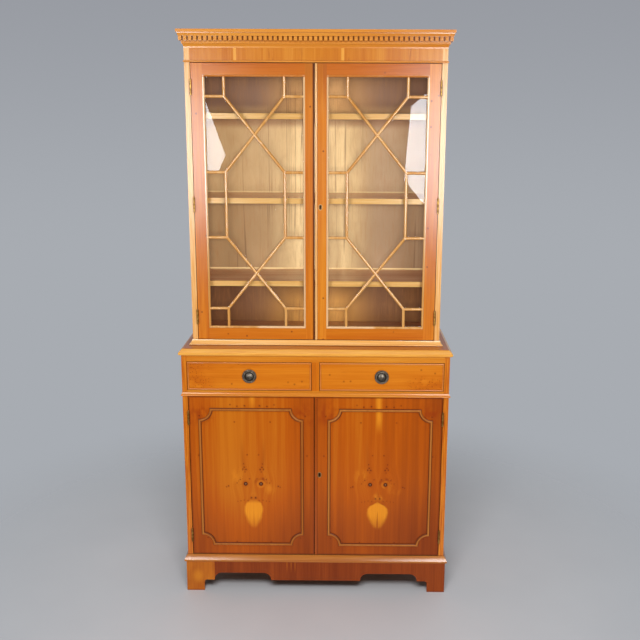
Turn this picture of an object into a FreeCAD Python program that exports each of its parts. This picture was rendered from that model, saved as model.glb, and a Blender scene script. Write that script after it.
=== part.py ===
import FreeCAD, Part
import math
import os

# Cabinet bookcase in two parts: a glazed bookcase with a dentil cornice, standing on a base
# with two drawers over two cupboard doors and a bracket-foot plinth.
# Millimetres. The origin is on the floor under the middle of the whole piece. The front faces -Y.

# Carcass sizes
base_width = 918.0
upper_width = 854.0
upper_depth = 300.0
upper_setback = 63.0
side_thickness = 18.0
board_thickness = 18.0
back_thickness = 6.0
back_rebate = 9.0

# Heights of the levels, from the floor up
plinth_height = 114.0
plinth_moulding_height = 26.0
cupboard_opening_height = 596.0
dust_board_thickness = 20.0
drawer_opening_height = 102.0
drawer_top_rail_height = 23.0
base_top_thickness = 22.0
glazed_opening_height = 924.0
frieze_height = 45.0
cornice_height = 56.0

# Plinth with bracket feet
plinth_thickness = 18.0
plinth_proud = 6.0
foot_width = 63.0
foot_corner_radius = 10.0
ledge_height = 42.0
bracket_width = 37.0
arch_height = 70.0
arch_corner_radius = 27.0
arch_width = 204.0
plinth_block_size = 30.0
plinth_block_lift = 22.0

# Plinth moulding
plinth_moulding_projection = 12.0
plinth_moulding_foot = 7.0
plinth_moulding_top = 2.0
plinth_nose_bottom = 6.0
plinth_nose_top = 9.0
plinth_undercut_shares = (0.68, 0.32)
plinth_thumb_shares = (0.65, 0.59)

# Waist moulding under the drawers
waist_moulding_height = 13.0
waist_moulding_projection = 5.0
waist_nose_height = 3.6
waist_nose_round = 0.8
waist_moulding_top = 0.8
waist_hollow_shares = (0.62, 0.4)

# Top board of the base
base_top_overhang = 8.5
base_top_thumb_width = 13.0
base_top_thumb_height = 13.0
base_top_nose_height = 5.0
base_top_undercut = 3.0
base_top_round_shares = (0.66, 0.62)

# Moulding round the foot of the upper part
surbase_projection = 12.0
surbase_bead_height = 5.0
surbase_bead_round = 1.0
surbase_quirk = 1.2
surbase_top = 2.5
surbase_hollow_shares = (0.6, 0.38)

# Cornice
cornice_projection = 21.0
cornice_top_fillet_height = 9.5
cove_projection = 4.0
cove_shares = (0.3, 0.53)
cornice_fillet_height = 9.0
cornice_fillet_projection = 6.5
dentil_height = 14.0
dentil_band_projection = 5.5
soffit_projection = 15.5
soffit_lip_height = 2.5
ovolo_height = 8.5
ovolo_projection = 18.0
ovolo_shares = (0.62, 0.4)
frieze_thickness = 18.0
frieze_bead_height = 6.0
frieze_bead_projection = 3.0
top_board_drop = 6.0

# Dentil strips
dentil_backing = 1.0
dentil_projection = 14.0
dentil_width = 10.5
dentil_pitch = 16.0

# Shelves and their pegs
shelf_thickness = 18.0
shelf_setback = 32.0
shelf_side_clearance = 0.5
shelf_height_shares = (0.2175, 0.525, 0.827)
cupboard_shelf_share = 0.5
cupboard_shelf_setback = 45.0
peg_radius = 2.5
peg_hole_depth = 9.0
peg_rest_length = 9.0
peg_rest_width = 9.0
peg_rest_height = 6.0
peg_inset = 40.0

# Doors
door_thickness = 20.0
door_gap = 2.0
hinge_stile_width = 37.0
meeting_stile_width = 30.5
top_rail_width = 36.0
bottom_rail_width = 39.0
tenon_length = 20.0
tenon_thickness = 7.0
tenon_shoulder = 6.0
closing_bead_width = 8.0
closing_bead_proud = 3.0
closing_bead_round = 2.6
cupboard_bead_width = 6.0
cupboard_bead_proud = 1.0
cupboard_bead_round = 0.8

# Glass and its astragal lattice
glass_thickness = 3.0
glass_setback = 10.0
sight_moulding_width = 7.0
sight_moulding_setback = 1.0
sight_moulding_flat = 2.0
sight_moulding_edge = 3.0
sight_round_shares = (0.7, 0.36)
astragal_width = 10.0
astragal_setback = 3.0
astragal_edge = 2.5
astragal_fuse_tolerance = 0.001
lattice_side_share = 0.192
lattice_end_share = 0.074
lattice_middle_share = 0.369

# Cupboard door panel moulding
panel_outer_margin = 32.5
panel_meeting_margin = 38.0
panel_top_margin = 42.0
panel_bottom_margin = 35.0
panel_moulding_width = 10.0
panel_moulding_proud = 4.5
panel_corner_radius = 40.0
panel_level_shares = (0.0, 0.5, 0.85, 1.0)
panel_inset_shares = (0.0, 0.03, 0.14, 0.3)

# Butt hinges
knuckle_radius = 3.0
knuckle_count = 5
hinge_length = 50.0
hinge_pin_radius = 1.5
hinge_pin_clearance = 0.05
hinge_leaf_thickness = 0.8
hinge_leaf_depth = 16.0
knuckle_clearance = 0.3
glazed_hinge_shares = (0.085, 0.503, 0.917)
cupboard_hinge_shares = (0.124, 0.869)

# Locks
glazed_key_share = 0.496
cupboard_key_share = 0.517
key_inset = 10.0
keyhole_radius = 2.6
keyhole_slot_width = 3.0
keyhole_slot_length = 8.0
escutcheon_width = 13.0
escutcheon_height = 20.0
escutcheon_thickness = 2.0
escutcheon_proud = 0.4
lock_case_inset = 3.0
lock_case_width = 22.0
lock_case_height = 48.0
lock_case_depth = 11.0
lock_case_cover = 1.0
bolt_length = 18.0
bolt_thickness = 5.0
bolt_height = 12.0
bolt_rise = 12.0
bolt_tip_inset = 1.0
bolt_throw = 9.0
bolt_clearance = 0.4

# Drawers
drawer_divider_width = 26.0
drawer_top_rail_depth = 60.0
drawer_gap = 1.5
drawer_front_thickness = 20.0
cock_bead_width = 5.0
cock_bead_proud = 2.0
cock_bead_seat = 8.0
cock_bead_edge = 0.5
drawer_side_thickness = 12.0
drawer_bottom_thickness = 6.0
drawer_bottom_rise = 8.0
drawer_groove_depth = 4.0
drawer_side_drop = 8.0
drawer_running_gap = 0.5
drawer_back_space = 12.0

# Ring pulls
pull_radius = 24.0
pull_plate_thickness = 2.0
pull_rim_width = 2.2
pull_rim_height = 3.4
pull_dome_radius = 13.0
pull_dome_height = 6.0
ring_wire_radius = 2.0
ring_rim_gap = 1.8
ring_plate_gap = 0.5
ring_bar_length = 8.0
ring_bore_clearance = 0.06
pull_lug_width = 5.0
pull_lug_radius = 3.6

# How far every cutting shape runs past what it cuts
overrun = 5.0

os.makedirs("parts", exist_ok=True)

# Places worked out from the sizes
base_depth = upper_setback + upper_depth
total_depth = base_depth + plinth_moulding_projection
base_front = plinth_moulding_projection - total_depth / 2
back_face = total_depth / 2
upper_front = base_front + upper_setback
half_base = base_width / 2
half_upper = upper_width / 2
base_inside = half_base - side_thickness
upper_inside = half_upper - side_thickness

cupboard_floor = plinth_height + plinth_moulding_height
dust_board_bottom = cupboard_floor + cupboard_opening_height
drawer_floor = dust_board_bottom + dust_board_thickness
drawer_ceiling = drawer_floor + drawer_opening_height
base_top_bottom = drawer_ceiling + drawer_top_rail_height
base_top_face = base_top_bottom + base_top_thickness
upper_floor = base_top_face + board_thickness
frieze_bottom = upper_floor + glazed_opening_height
cornice_bottom = frieze_bottom + frieze_height
cornice_top = cornice_bottom + cornice_height
upper_side_top = cornice_top - top_board_drop
back_inner = back_face - back_thickness

x_axis = FreeCAD.Vector(1, 0, 0)
y_axis = FreeCAD.Vector(0, 1, 0)
z_axis = FreeCAD.Vector(0, 0, 1)
origin = FreeCAD.Vector(0, 0, 0)


def save(name, *solids):
    """Write one node: a single solid, or a group of separate ones."""
    shape = solids[0] if len(solids) == 1 else Part.makeCompound(list(solids))
    shape.exportStep("parts/" + name + ".step")


def block(x_range, y_range, z_range):
    """A box between two values on each axis, given in either order."""
    (x0, x1), (y0, y1), (z0, z1) = (sorted(r) for r in (x_range, y_range, z_range))
    return Part.makeBox(x1 - x0, y1 - y0, z1 - z0, FreeCAD.Vector(x0, y0, z0))


def mirrored(shape):
    """The same piece on the other side of the middle."""
    return shape.mirror(origin, x_axis)


def cylinder(centre, radius, direction, length):
    """A cylinder centred on a point."""
    start = centre - direction * (length / 2)
    return Part.makeCylinder(radius, length, start, direction)


def outline(steps, place):
    """A closed wire: a step is a point, or a middle and an end point of an arc. place sets each in space."""
    edges = []
    here = place(*steps[0])
    for step in steps[1:] + steps[:1]:
        if isinstance(step[0], tuple):
            middle, end = place(*step[0]), place(*step[1])
            edges.append(Part.Arc(here, middle, end).toShape())
        else:
            end = place(*step)
            edges.append(Part.LineSegment(here, end).toShape())
        here = end
    return Part.Wire(edges)


def prism(steps, place, travel):
    """A closed outline pushed along a vector."""
    return Part.Face(outline(steps, place)).extrude(travel)


def along(start, end, shares):
    """A point between two points, by its share of the way on each axis."""
    return tuple(a + (b - a) * share for a, b, share in zip(start, end, shares))


def three_sided(profile, half_width, front, inner, outer):
    """A moulding along the front and both sides, mitred at the corners.

    The profile is in distance out from the carcass and height. inner and outer bound it."""
    reach = half_width + outer + overrun
    low = min(step[0][1] if isinstance(step[0], tuple) else step[1] for step in profile) - overrun
    tall = cornice_top + 2 * overrun
    face_in, face_out = half_width + inner - overrun, reach
    front_in, front_out = front - inner + overrun, front - outer - overrun

    front_run = prism(profile, lambda p, z: FreeCAD.Vector(-reach, front - p, z), x_axis * (2 * reach))
    front_mitre = ((-face_in, front_in), (face_in, front_in), (face_out, front_out), (-face_out, front_out))
    front_keep = prism(front_mitre, lambda x, y: FreeCAD.Vector(x, y, low), z_axis * tall)

    side_run = prism(profile, lambda p, z: FreeCAD.Vector(half_width + p, front - reach, z),
                     y_axis * (back_face - front + reach + overrun))
    side_mitre = ((face_in, front_in), (face_in, back_face), (face_out, back_face), (face_out, front_out))
    side_keep = prism(side_mitre, lambda x, y: FreeCAD.Vector(x, y, low), z_axis * tall)
    side = side_run.common(side_keep).Solids[0]
    return front_run.common(front_keep).Solids[0], mirrored(side), side


def framing(x_range, z_range, width, profile):
    """Four strips round a rectangle seen from the front, mitred at the corners.

    The profile is in distance in from the rectangle's edge and place along Y."""
    (x0, x1), (z0, z1) = x_range, z_range
    corners = ((x0, z0), (x1, z0), (x1, z1), (x0, z1))
    inner = ((x0 + width, z0 + width), (x1 - width, z0 + width),
             (x1 - width, z1 - width), (x0 + width, z1 - width))
    inward = (z_axis, -x_axis, -z_axis, x_axis)
    places = [step[-1] if isinstance(step[0], tuple) else step for step in profile]
    near = min(y for _, y in places) - overrun
    far = max(y for _, y in places) + overrun
    strips = []
    for side in range(len(corners)):
        start, end = corners[side], corners[(side + 1) % len(corners)]
        first = FreeCAD.Vector(start[0], 0, start[1])
        travel = FreeCAD.Vector(end[0], 0, end[1]) - first
        run = prism(profile, lambda d, y: first + inward[side] * d + y_axis * y, travel)
        mitre = (start, end, inner[(side + 1) % len(corners)], inner[side])
        keep = prism(mitre, lambda x, z: FreeCAD.Vector(x, near, z), y_axis * (far - near))
        strips.append(run.common(keep).Solids[0])
    return strips


# Upper carcass
def shelf_top(share):
    return upper_floor + glazed_opening_height * share


def peg_places(inside, front, top):
    """Where the four pegs of a shelf go into the sides."""
    low = top - shelf_thickness - peg_rest_height / 2
    return [FreeCAD.Vector(side * inside, y, low) for side in (-1, 1)
            for y in (front + peg_inset, back_inner - peg_inset)]


cupboard_shelf_top = cupboard_floor + cupboard_opening_height * cupboard_shelf_share
upper_pegs = [place for share in shelf_height_shares
              for place in peg_places(upper_inside, upper_front + shelf_setback, shelf_top(share))]
cupboard_pegs = peg_places(base_inside, base_front + cupboard_shelf_setback, cupboard_shelf_top)


def peg(place):
    """A shelf peg: a pin in the side board and a flat rest under the shelf."""
    inward = -math.copysign(1, place.x)
    pin = cylinder(place - x_axis * (inward * peg_hole_depth / 2), peg_radius, x_axis, peg_hole_depth)
    rest = block((place.x, place.x + inward * peg_rest_length),
                 (place.y - peg_rest_width / 2, place.y + peg_rest_width / 2),
                 (place.z - peg_rest_height / 2, place.z + peg_rest_height / 2))
    return pin.fuse(rest).removeSplitter().Solids[0]


def side_board(half_width, front, z_range, pegs):
    """A right-hand side board with a rebate for the back panel and holes for the shelf pegs."""
    board = block((half_width - side_thickness, half_width), (front, back_face), z_range)
    inside = half_width - side_thickness
    rebate = block((inside - overrun, half_width - back_rebate), (back_inner, back_face + overrun),
                   (z_range[0] - overrun, z_range[1] + overrun))
    holes = [cylinder(place + x_axis * (peg_hole_depth / 2), peg_radius, x_axis, peg_hole_depth)
             for place in pegs if place.x > 0]
    return board.cut([rebate] + holes).Solids[0]


upper_side = side_board(half_upper, upper_front, (base_top_face, upper_side_top), upper_pegs)
save("upper_right_side", upper_side)
save("upper_left_side", mirrored(upper_side))
upper_span = (-upper_inside, upper_inside)
upper_run = (upper_front, back_inner)
save("upper_bottom_board", block(upper_span, upper_run, (base_top_face, upper_floor)))
top_board_bottom = upper_side_top - board_thickness
save("upper_top_board", block(upper_span, (upper_front + frieze_thickness, back_inner),
                              (top_board_bottom, upper_side_top)))
save("frieze_rail", block(upper_span, (upper_front, upper_front + frieze_thickness),
                          (frieze_bottom, upper_side_top)))
upper_back_half = half_upper - back_rebate
save("upper_back_panel", block((-upper_back_half, upper_back_half), (back_inner, back_face),
                               (base_top_face, upper_side_top)))

shelf_span = (shelf_side_clearance - upper_inside, upper_inside - shelf_side_clearance)
for shelf_name, share in zip(("bottom_shelf", "middle_shelf", "top_shelf"), shelf_height_shares):
    save(shelf_name, block(shelf_span, (upper_front + shelf_setback, back_inner),
                           (shelf_top(share) - shelf_thickness, shelf_top(share))))
save("shelf_pegs", *[peg(place) for place in upper_pegs + cupboard_pegs])

# Cornice, from its top down: top fillet, ovolo, soffit, dentil band and fillet, and a cove in what is left
ovolo_top = cornice_top - cornice_top_fillet_height
ovolo_bottom = ovolo_top - ovolo_height
band_top = ovolo_bottom - soffit_lip_height
band_bottom = band_top - dentil_height
fillet_bottom = band_bottom - cornice_fillet_height
cove_foot, cove_head = (0, cornice_bottom), (cove_projection, fillet_bottom)
ovolo_foot, ovolo_head = (soffit_projection, ovolo_bottom), (ovolo_projection, ovolo_top)
cornice_profile = [
    cove_foot,
    (along(cove_foot, cove_head, cove_shares), cove_head),
    (cornice_fillet_projection, fillet_bottom),
    (cornice_fillet_projection, band_bottom),
    (dentil_band_projection, band_bottom),
    (dentil_band_projection, band_top),
    (soffit_projection, band_top),
    ovolo_foot,
    (along(ovolo_foot, ovolo_head, ovolo_shares), ovolo_head),
    (cornice_projection, ovolo_top),
    (cornice_projection, cornice_top),
    (0, cornice_top),
]
cornice = three_sided(cornice_profile, half_upper, upper_front, 0, cornice_projection)
bead_middle = frieze_bottom + frieze_bead_height / 2
frieze_bead_profile = [
    (0, frieze_bottom),
    ((frieze_bead_projection, bead_middle), (0, frieze_bottom + frieze_bead_height)),
]
frieze_bead = three_sided(frieze_bead_profile, half_upper, upper_front, 0, frieze_bead_projection)
save("cornice_mouldings", *cornice, *frieze_bead)


def comb(length, first_width):
    """Outline of a toothed strip: distance along it and distance out, starting with a tooth."""
    gaps = max(1, round((length - dentil_width) / dentil_pitch))
    pitch = (length - dentil_width) / gaps
    tips = []
    tooth_out = dentil_projection - dentil_band_projection
    for tooth in range(gaps + 1):
        start = tooth * pitch
        width = first_width if tooth == 0 else dentil_width
        begin = start + dentil_width - width
        tips += [(begin, dentil_backing), (begin, tooth_out), (start + dentil_width, tooth_out)]
        tips += [(start + dentil_width, dentil_backing)]
    return tips


band_front = upper_front - dentil_band_projection
band_side = half_upper + dentil_band_projection
tooth_front = upper_front - dentil_projection
tooth_side = half_upper + dentil_projection
front_comb = comb(2 * tooth_side, dentil_width)
front_back = [(tooth_side + band_side, dentil_backing), (tooth_side + band_side, 0),
              (tooth_side - band_side, 0), (tooth_side - band_side, dentil_backing)]
front_dentils = prism(front_comb + front_back,
                      lambda run, out: FreeCAD.Vector(run - tooth_side, band_front - out, band_bottom),
                      z_axis * dentil_height).Solids[0]
corner_depth = dentil_projection - dentil_band_projection - dentil_backing
side_length = back_face - tooth_front
side_comb = comb(side_length, dentil_width - corner_depth)
side_back = [(side_length, 0), (corner_depth, 0)]
side_dentils = prism(side_comb + side_back,
                     lambda run, out: FreeCAD.Vector(band_side + out, tooth_front + run, band_bottom),
                     z_axis * dentil_height).Solids[0]
save("dentil_strips", front_dentils, mirrored(side_dentils), side_dentils)

# Moulding round the foot of the upper part, with a bead below and a hollow slope above
surbase_hollow_foot = (surbase_projection - surbase_bead_round - surbase_quirk,
                       base_top_face + surbase_bead_height)
surbase_hollow_head = (surbase_top, upper_floor)
surbase_profile = [
    (0, base_top_face),
    (surbase_projection - surbase_bead_round, base_top_face),
    ((surbase_projection, base_top_face + surbase_bead_height / 2),
     (surbase_projection - surbase_bead_round, base_top_face + surbase_bead_height)),
    surbase_hollow_foot,
    (along(surbase_hollow_foot, surbase_hollow_head, surbase_hollow_shares), surbase_hollow_head),
    (0, upper_floor),
]
save("surbase_moulding", *three_sided(surbase_profile, half_upper, upper_front, 0, surbase_projection))

# Top board of the base, with a thumb moulding cut on its front and ends
top_half = half_base + base_top_overhang
top_front = base_front - base_top_overhang
base_top = block((-top_half, top_half), (top_front, back_face), (base_top_bottom, base_top_face))
thumb_head = (base_top_thumb_width, base_top_face)
thumb_foot = (0, base_top_face - base_top_thumb_height)
undercut_head = (0, thumb_foot[1] - base_top_nose_height)
undercut_foot = (base_top_undercut, base_top_bottom)
thumb_waste = [
    (-overrun, base_top_face + overrun),
    (base_top_thumb_width, base_top_face + overrun),
    thumb_head,
    (along(thumb_foot, thumb_head, base_top_round_shares[::-1]), thumb_foot),
    undercut_head,
    (along(undercut_head, undercut_foot, base_top_round_shares[::-1]), undercut_foot),
    (base_top_undercut, base_top_bottom - overrun),
    (-overrun, base_top_bottom - overrun),
]
front_waste = prism(thumb_waste, lambda d, z: FreeCAD.Vector(-top_half - overrun, top_front + d, z),
                    x_axis * (2 * (top_half + overrun)))
side_waste = prism(thumb_waste, lambda d, z: FreeCAD.Vector(top_half - d, top_front - overrun, z),
                   y_axis * (back_face - top_front + 2 * overrun))
save("base_top", base_top.cut([front_waste, side_waste, mirrored(side_waste)]).Solids[0])

# Base carcass
base_side = side_board(half_base, base_front, (plinth_height, base_top_bottom), cupboard_pegs)
save("base_right_side", base_side)
save("base_left_side", mirrored(base_side))
base_span = (-base_inside, base_inside)
base_run = (base_front, back_inner)
save("base_bottom_board", block(base_span, base_run, (cupboard_floor - board_thickness, cupboard_floor)))
save("dust_board", block(base_span, base_run, (dust_board_bottom, drawer_floor)))
half_divider = drawer_divider_width / 2
save("drawer_divider", block((-half_divider, half_divider), base_run, (drawer_floor, drawer_ceiling)))
save("drawer_top_rail", block(base_span, (base_front, base_front + drawer_top_rail_depth),
                              (drawer_ceiling, base_top_bottom)))
base_back_half = half_base - back_rebate
save("base_back_panel", block((-base_back_half, base_back_half), (back_inner, back_face),
                              (plinth_height, base_top_bottom)))
cupboard_shelf_span = (shelf_side_clearance - base_inside, base_inside - shelf_side_clearance)
save("cupboard_shelf", block(cupboard_shelf_span, (base_front + cupboard_shelf_setback, back_inner),
                             (cupboard_shelf_top - shelf_thickness, cupboard_shelf_top)))

waist_nose_top = dust_board_bottom + waist_nose_height
waist_nose_in = waist_moulding_projection - waist_nose_round
waist_hollow_foot = (waist_nose_in, waist_nose_top)
waist_hollow_head = (waist_moulding_top, dust_board_bottom + waist_moulding_height)
waist_profile = [
    (0, dust_board_bottom),
    (waist_nose_in, dust_board_bottom),
    ((waist_moulding_projection, dust_board_bottom + waist_nose_height / 2), waist_hollow_foot),
    (along(waist_hollow_foot, waist_hollow_head, waist_hollow_shares), waist_hollow_head),
    (0, dust_board_bottom + waist_moulding_height),
]
save("waist_moulding", *three_sided(waist_profile, half_base, base_front, 0, waist_moulding_projection))

undercut_start = (plinth_moulding_foot, plinth_height)
undercut_end = (plinth_moulding_projection, plinth_height + plinth_nose_bottom)
thumb_start = (plinth_moulding_projection, plinth_height + plinth_nose_top)
thumb_end = (plinth_moulding_top, cupboard_floor)
plinth_moulding_profile = [
    (0, plinth_height),
    undercut_start,
    (along(undercut_start, undercut_end, plinth_undercut_shares), undercut_end),
    thumb_start,
    (along(thumb_start, thumb_end, plinth_thumb_shares[::-1]), thumb_end),
    (0, cupboard_floor),
]
save("plinth_moulding",
     *three_sided(plinth_moulding_profile, half_base, base_front, 0, plinth_moulding_projection))


# Plinth
def rounded_corner(corner, before, after, radius):
    """Arc step round a corner of an outline whose sides run along the axes."""
    start = tuple(c + radius * s for c, s in zip(corner, before))
    end = tuple(c + radius * s for c, s in zip(corner, after))
    inset = radius * (1 - math.sqrt(0.5))
    middle = tuple(c + inset * (b + a) for c, b, a in zip(corner, before, after))
    return [start, (middle, end)]


def bracket_foot(outside, outward):
    """Lower edge of a foot and its bracket, from the floor's outer corner to the end of the ledge."""
    inside = outside - outward * foot_width
    ledge_end = inside - outward * bracket_width
    return [(outside, 0), (inside, 0),
            *rounded_corner((inside, ledge_height), (0, -1), (-outward, 0), foot_corner_radius),
            (ledge_end, ledge_height)]


def arch(near, far):
    """An arch between two places along a plinth board, at the level of the ledge."""
    way = math.copysign(1, far - near)
    return [*rounded_corner((near, arch_height), (0, -1), (way, 0), arch_corner_radius),
            *rounded_corner((far, arch_height), (-way, 0), (0, -1), arch_corner_radius),
            (far, ledge_height)]


def reversed_outline(steps):
    """The same open outline run the other way."""
    ends = [step[1] if isinstance(step[0], tuple) else step for step in steps]
    turned = [ends[-1]]
    for index in range(len(steps) - 1, 0, -1):
        is_arc = isinstance(steps[index][0], tuple)
        turned.append((steps[index][0], ends[index - 1]) if is_arc else ends[index - 1])
    return turned


plinth_half = half_base + plinth_proud
plinth_front_face = base_front - plinth_proud
plinth_inset = plinth_thickness - plinth_proud
arch_start = plinth_half - foot_width - bracket_width
right_half = bracket_foot(plinth_half, 1) + arch(arch_start, arch_start - arch_width)
left_half = [((-step[0][0], step[0][1]), (-step[1][0], step[1][1])) if isinstance(step[0], tuple)
             else (-step[0], step[1]) for step in right_half]
plinth_outline = [(plinth_half, plinth_height)] + right_half + reversed_outline(left_half)
plinth_outline += [(-plinth_half, plinth_height)]
plinth_board = prism(plinth_outline, lambda x, z: FreeCAD.Vector(x, plinth_front_face, z),
                     y_axis * plinth_thickness)
mitre_out, mitre_in = plinth_half + overrun, half_base - plinth_inset
front_out, front_in = plinth_front_face - overrun, base_front + plinth_inset
mitre_base = -overrun
mitre_tall = plinth_height + 2 * overrun
front_mitre = ((-mitre_out, front_out), (mitre_out, front_out), (mitre_in, front_in), (-mitre_in, front_in))
front_keep = prism(front_mitre, lambda x, y: FreeCAD.Vector(x, y, mitre_base), z_axis * mitre_tall)
save("plinth_front", plinth_board.common(front_keep).Solids[0])

end_front = bracket_foot(plinth_front_face, -1)
end_back = bracket_foot(back_face, 1)
end_outline = [(plinth_front_face, plinth_height)] + end_front
end_outline += arch(end_front[-1][0], end_back[-1][0])[:-1] + reversed_outline(end_back)
end_outline += [(back_face, plinth_height)]
end_board = prism(end_outline, lambda y, z: FreeCAD.Vector(plinth_half - plinth_thickness, y, z),
                  x_axis * plinth_thickness)
side_mitre = ((mitre_out, front_out), (mitre_out, back_face), (mitre_in, back_face), (mitre_in, front_in))
side_keep = prism(side_mitre, lambda x, y: FreeCAD.Vector(x, y, mitre_base), z_axis * mitre_tall)
plinth_end = end_board.common(side_keep).Solids[0]
plinth_back = block((-mitre_in, mitre_in), (back_face - plinth_thickness, back_face),
                    (ledge_height, plinth_height))
save("plinth_ends_and_back", mirrored(plinth_end), plinth_end, plinth_back)
block_span = (mitre_in - plinth_block_size, mitre_in)
block_rise = (plinth_block_lift, plinth_height)
front_block = block(block_span, (front_in, front_in + plinth_block_size), block_rise)
back_block_face = back_face - plinth_thickness
back_block = block(block_span, (back_block_face - plinth_block_size, back_block_face), block_rise)
save("plinth_corner_blocks", front_block, mirrored(front_block), back_block, mirrored(back_block))


# Hinges
knuckle_length = (hinge_length - knuckle_clearance * (knuckle_count - 1)) / knuckle_count
knuckle_step = knuckle_length + knuckle_clearance


def hinge_axis(inside, front):
    """X and Y of the right-hand hinge pins: in the middle of the gap, proud of the front."""
    return inside - door_gap / 2, front - knuckle_radius - knuckle_clearance


def hinge_half(inside, front, middle, on_door):
    """One leaf of a right-hand hinge with its own knuckles."""
    pin_x, pin_y = hinge_axis(inside, front)
    bottom = middle - hinge_length / 2
    outer = inside - door_gap + hinge_leaf_thickness if on_door else inside
    leaf_x = (outer - hinge_leaf_thickness, outer)
    pieces = [block(leaf_x, (front, front + hinge_leaf_depth), (bottom, bottom + hinge_length))]
    bores = []
    for knuckle in range(1 if on_door else 0, knuckle_count, 2):
        low = bottom + knuckle * knuckle_step
        centre = FreeCAD.Vector(pin_x, pin_y, low + knuckle_length / 2)
        pieces.append(cylinder(centre, knuckle_radius, z_axis, knuckle_length))
        pieces.append(block(leaf_x, (pin_y, front), (low, low + knuckle_length)))
        bore = hinge_pin_radius + (hinge_pin_clearance if on_door else 0)
        bores.append(cylinder(centre, bore, z_axis, knuckle_length + 2 * overrun))
    return pieces[0].fuse(pieces[1:]).cut(bores).removeSplitter().Solids[0]


def hinge_pin(inside, front, middle):
    pin_x, pin_y = hinge_axis(inside, front)
    return cylinder(FreeCAD.Vector(pin_x, pin_y, middle), hinge_pin_radius, z_axis, hinge_length)


glazed_bottom = upper_floor + door_gap
glazed_top = frieze_bottom - door_gap
cupboard_bottom = cupboard_floor + door_gap
cupboard_top = dust_board_bottom - door_gap
glazed_hinge_middles = [glazed_bottom + (glazed_top - glazed_bottom) * share for share in glazed_hinge_shares]
cupboard_hinge_middles = [cupboard_bottom + (cupboard_top - cupboard_bottom) * share
                          for share in cupboard_hinge_shares]
glazed_hinges = [(upper_inside, upper_front, middle) for middle in glazed_hinge_middles]
cupboard_hinges = [(base_inside, base_front, middle) for middle in cupboard_hinge_middles]
fixed_half = [piece for hinge in glazed_hinges + cupboard_hinges
              for piece in (hinge_half(*hinge, False), hinge_pin(*hinge))]
save("carcass_hinge_leaves", *fixed_half, *[mirrored(piece) for piece in fixed_half])
for door_name, hinges in (("glazed", glazed_hinges), ("cupboard", cupboard_hinges)):
    moving_half = [hinge_half(*hinge, True) for hinge in hinges]
    save("right_" + door_name + "_hinge_leaves", *moving_half)
    save("left_" + door_name + "_hinge_leaves", *[mirrored(piece) for piece in moving_half])


# Locks, on the right-hand door of each pair
def lock_parts(edge, front, key_height, bead_width):
    """Case, keyhole surround, bolt, and the waste that they need in the doors and the bead.

    edge is the X of the right door's meeting edge, behind its closing bead."""
    key_x = edge + key_inset
    bead_face = edge - bead_width
    case_back = front + door_thickness - lock_case_cover
    case_x = (edge + lock_case_inset, edge + lock_case_inset + lock_case_width)
    case_y = (case_back - lock_case_depth, case_back)
    case_z = (key_height - lock_case_height / 2, key_height + lock_case_height / 2)
    pocket = block(case_x, (case_y[0], front + door_thickness + overrun), case_z)

    bolt_x = (bead_face + bolt_tip_inset, bead_face + bolt_tip_inset + bolt_length)
    bolt_middle_y = (case_y[0] + case_y[1]) / 2
    bolt_y = (bolt_middle_y - bolt_thickness / 2, bolt_middle_y + bolt_thickness / 2)
    bolt_z = (key_height + bolt_rise - bolt_height / 2, key_height + bolt_rise + bolt_height / 2)
    bolt = block(bolt_x, bolt_y, bolt_z)
    room_y = (bolt_y[0] - bolt_clearance, bolt_y[1] + bolt_clearance)
    room_z = (bolt_z[0] - bolt_clearance, bolt_z[1] + bolt_clearance)
    channel = block((bead_face - overrun, bolt_x[1] + bolt_clearance), room_y, room_z)
    strike_depth = bolt_throw - bolt_tip_inset - door_gap + bolt_clearance
    strike_face = bead_face - door_gap
    strike = block((strike_face - strike_depth, strike_face + overrun), room_y, room_z)

    hole_top = key_height + escutcheon_height / 2 - escutcheon_width / 2
    reach = case_y[0] + lock_case_depth / 2 - front + overrun
    hole_start = FreeCAD.Vector(key_x, front - overrun, hole_top)
    barrel_hole = Part.makeCylinder(keyhole_radius, reach, hole_start, y_axis)
    slot = block((key_x - keyhole_slot_width / 2, key_x + keyhole_slot_width / 2),
                 (front - overrun, front - overrun + reach), (hole_top - keyhole_slot_length, hole_top))
    keyhole = barrel_hole.fuse(slot).removeSplitter()

    round_radius = escutcheon_width / 2
    straight = escutcheon_height / 2 - round_radius
    stadium = [(key_x - round_radius, key_height - straight),
               ((key_x, key_height - straight - round_radius), (key_x + round_radius, key_height - straight)),
               (key_x + round_radius, key_height + straight),
               ((key_x, key_height + straight + round_radius), (key_x - round_radius, key_height + straight))]
    plate_front = front - escutcheon_proud
    plate = prism(stadium, lambda x, z: FreeCAD.Vector(x, plate_front, z), y_axis * escutcheon_thickness)
    case = block(case_x, case_y, case_z).cut([channel, keyhole]).Solids[0]
    waste = [pocket, channel, keyhole, plate]
    return case, plate.cut(keyhole).Solids[0], bolt, waste, strike


# Glazed doors, modelled as the right-hand one and mirrored
glazed_outer = upper_inside - door_gap
glazed_meeting = closing_bead_width / 2 + door_gap / 2
glazed_key = glazed_bottom + (glazed_top - glazed_bottom) * glazed_key_share
pane_x = (glazed_meeting + meeting_stile_width, glazed_outer - hinge_stile_width)
pane_z = (glazed_bottom + bottom_rail_width, glazed_top - top_rail_width)
door_y = (upper_front, upper_front + door_thickness)
tenon_middle = upper_front + door_thickness / 2
tenon_y = (tenon_middle - tenon_thickness / 2, tenon_middle + tenon_thickness / 2)


def rail(z_range):
    """A door rail with a tenon on each end."""
    tongue = block((pane_x[0] - tenon_length, pane_x[1] + tenon_length), tenon_y,
                   (z_range[0] + tenon_shoulder, z_range[1] - tenon_shoulder))
    return block(pane_x, door_y, z_range).fuse(tongue).removeSplitter().Solids[0]


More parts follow.
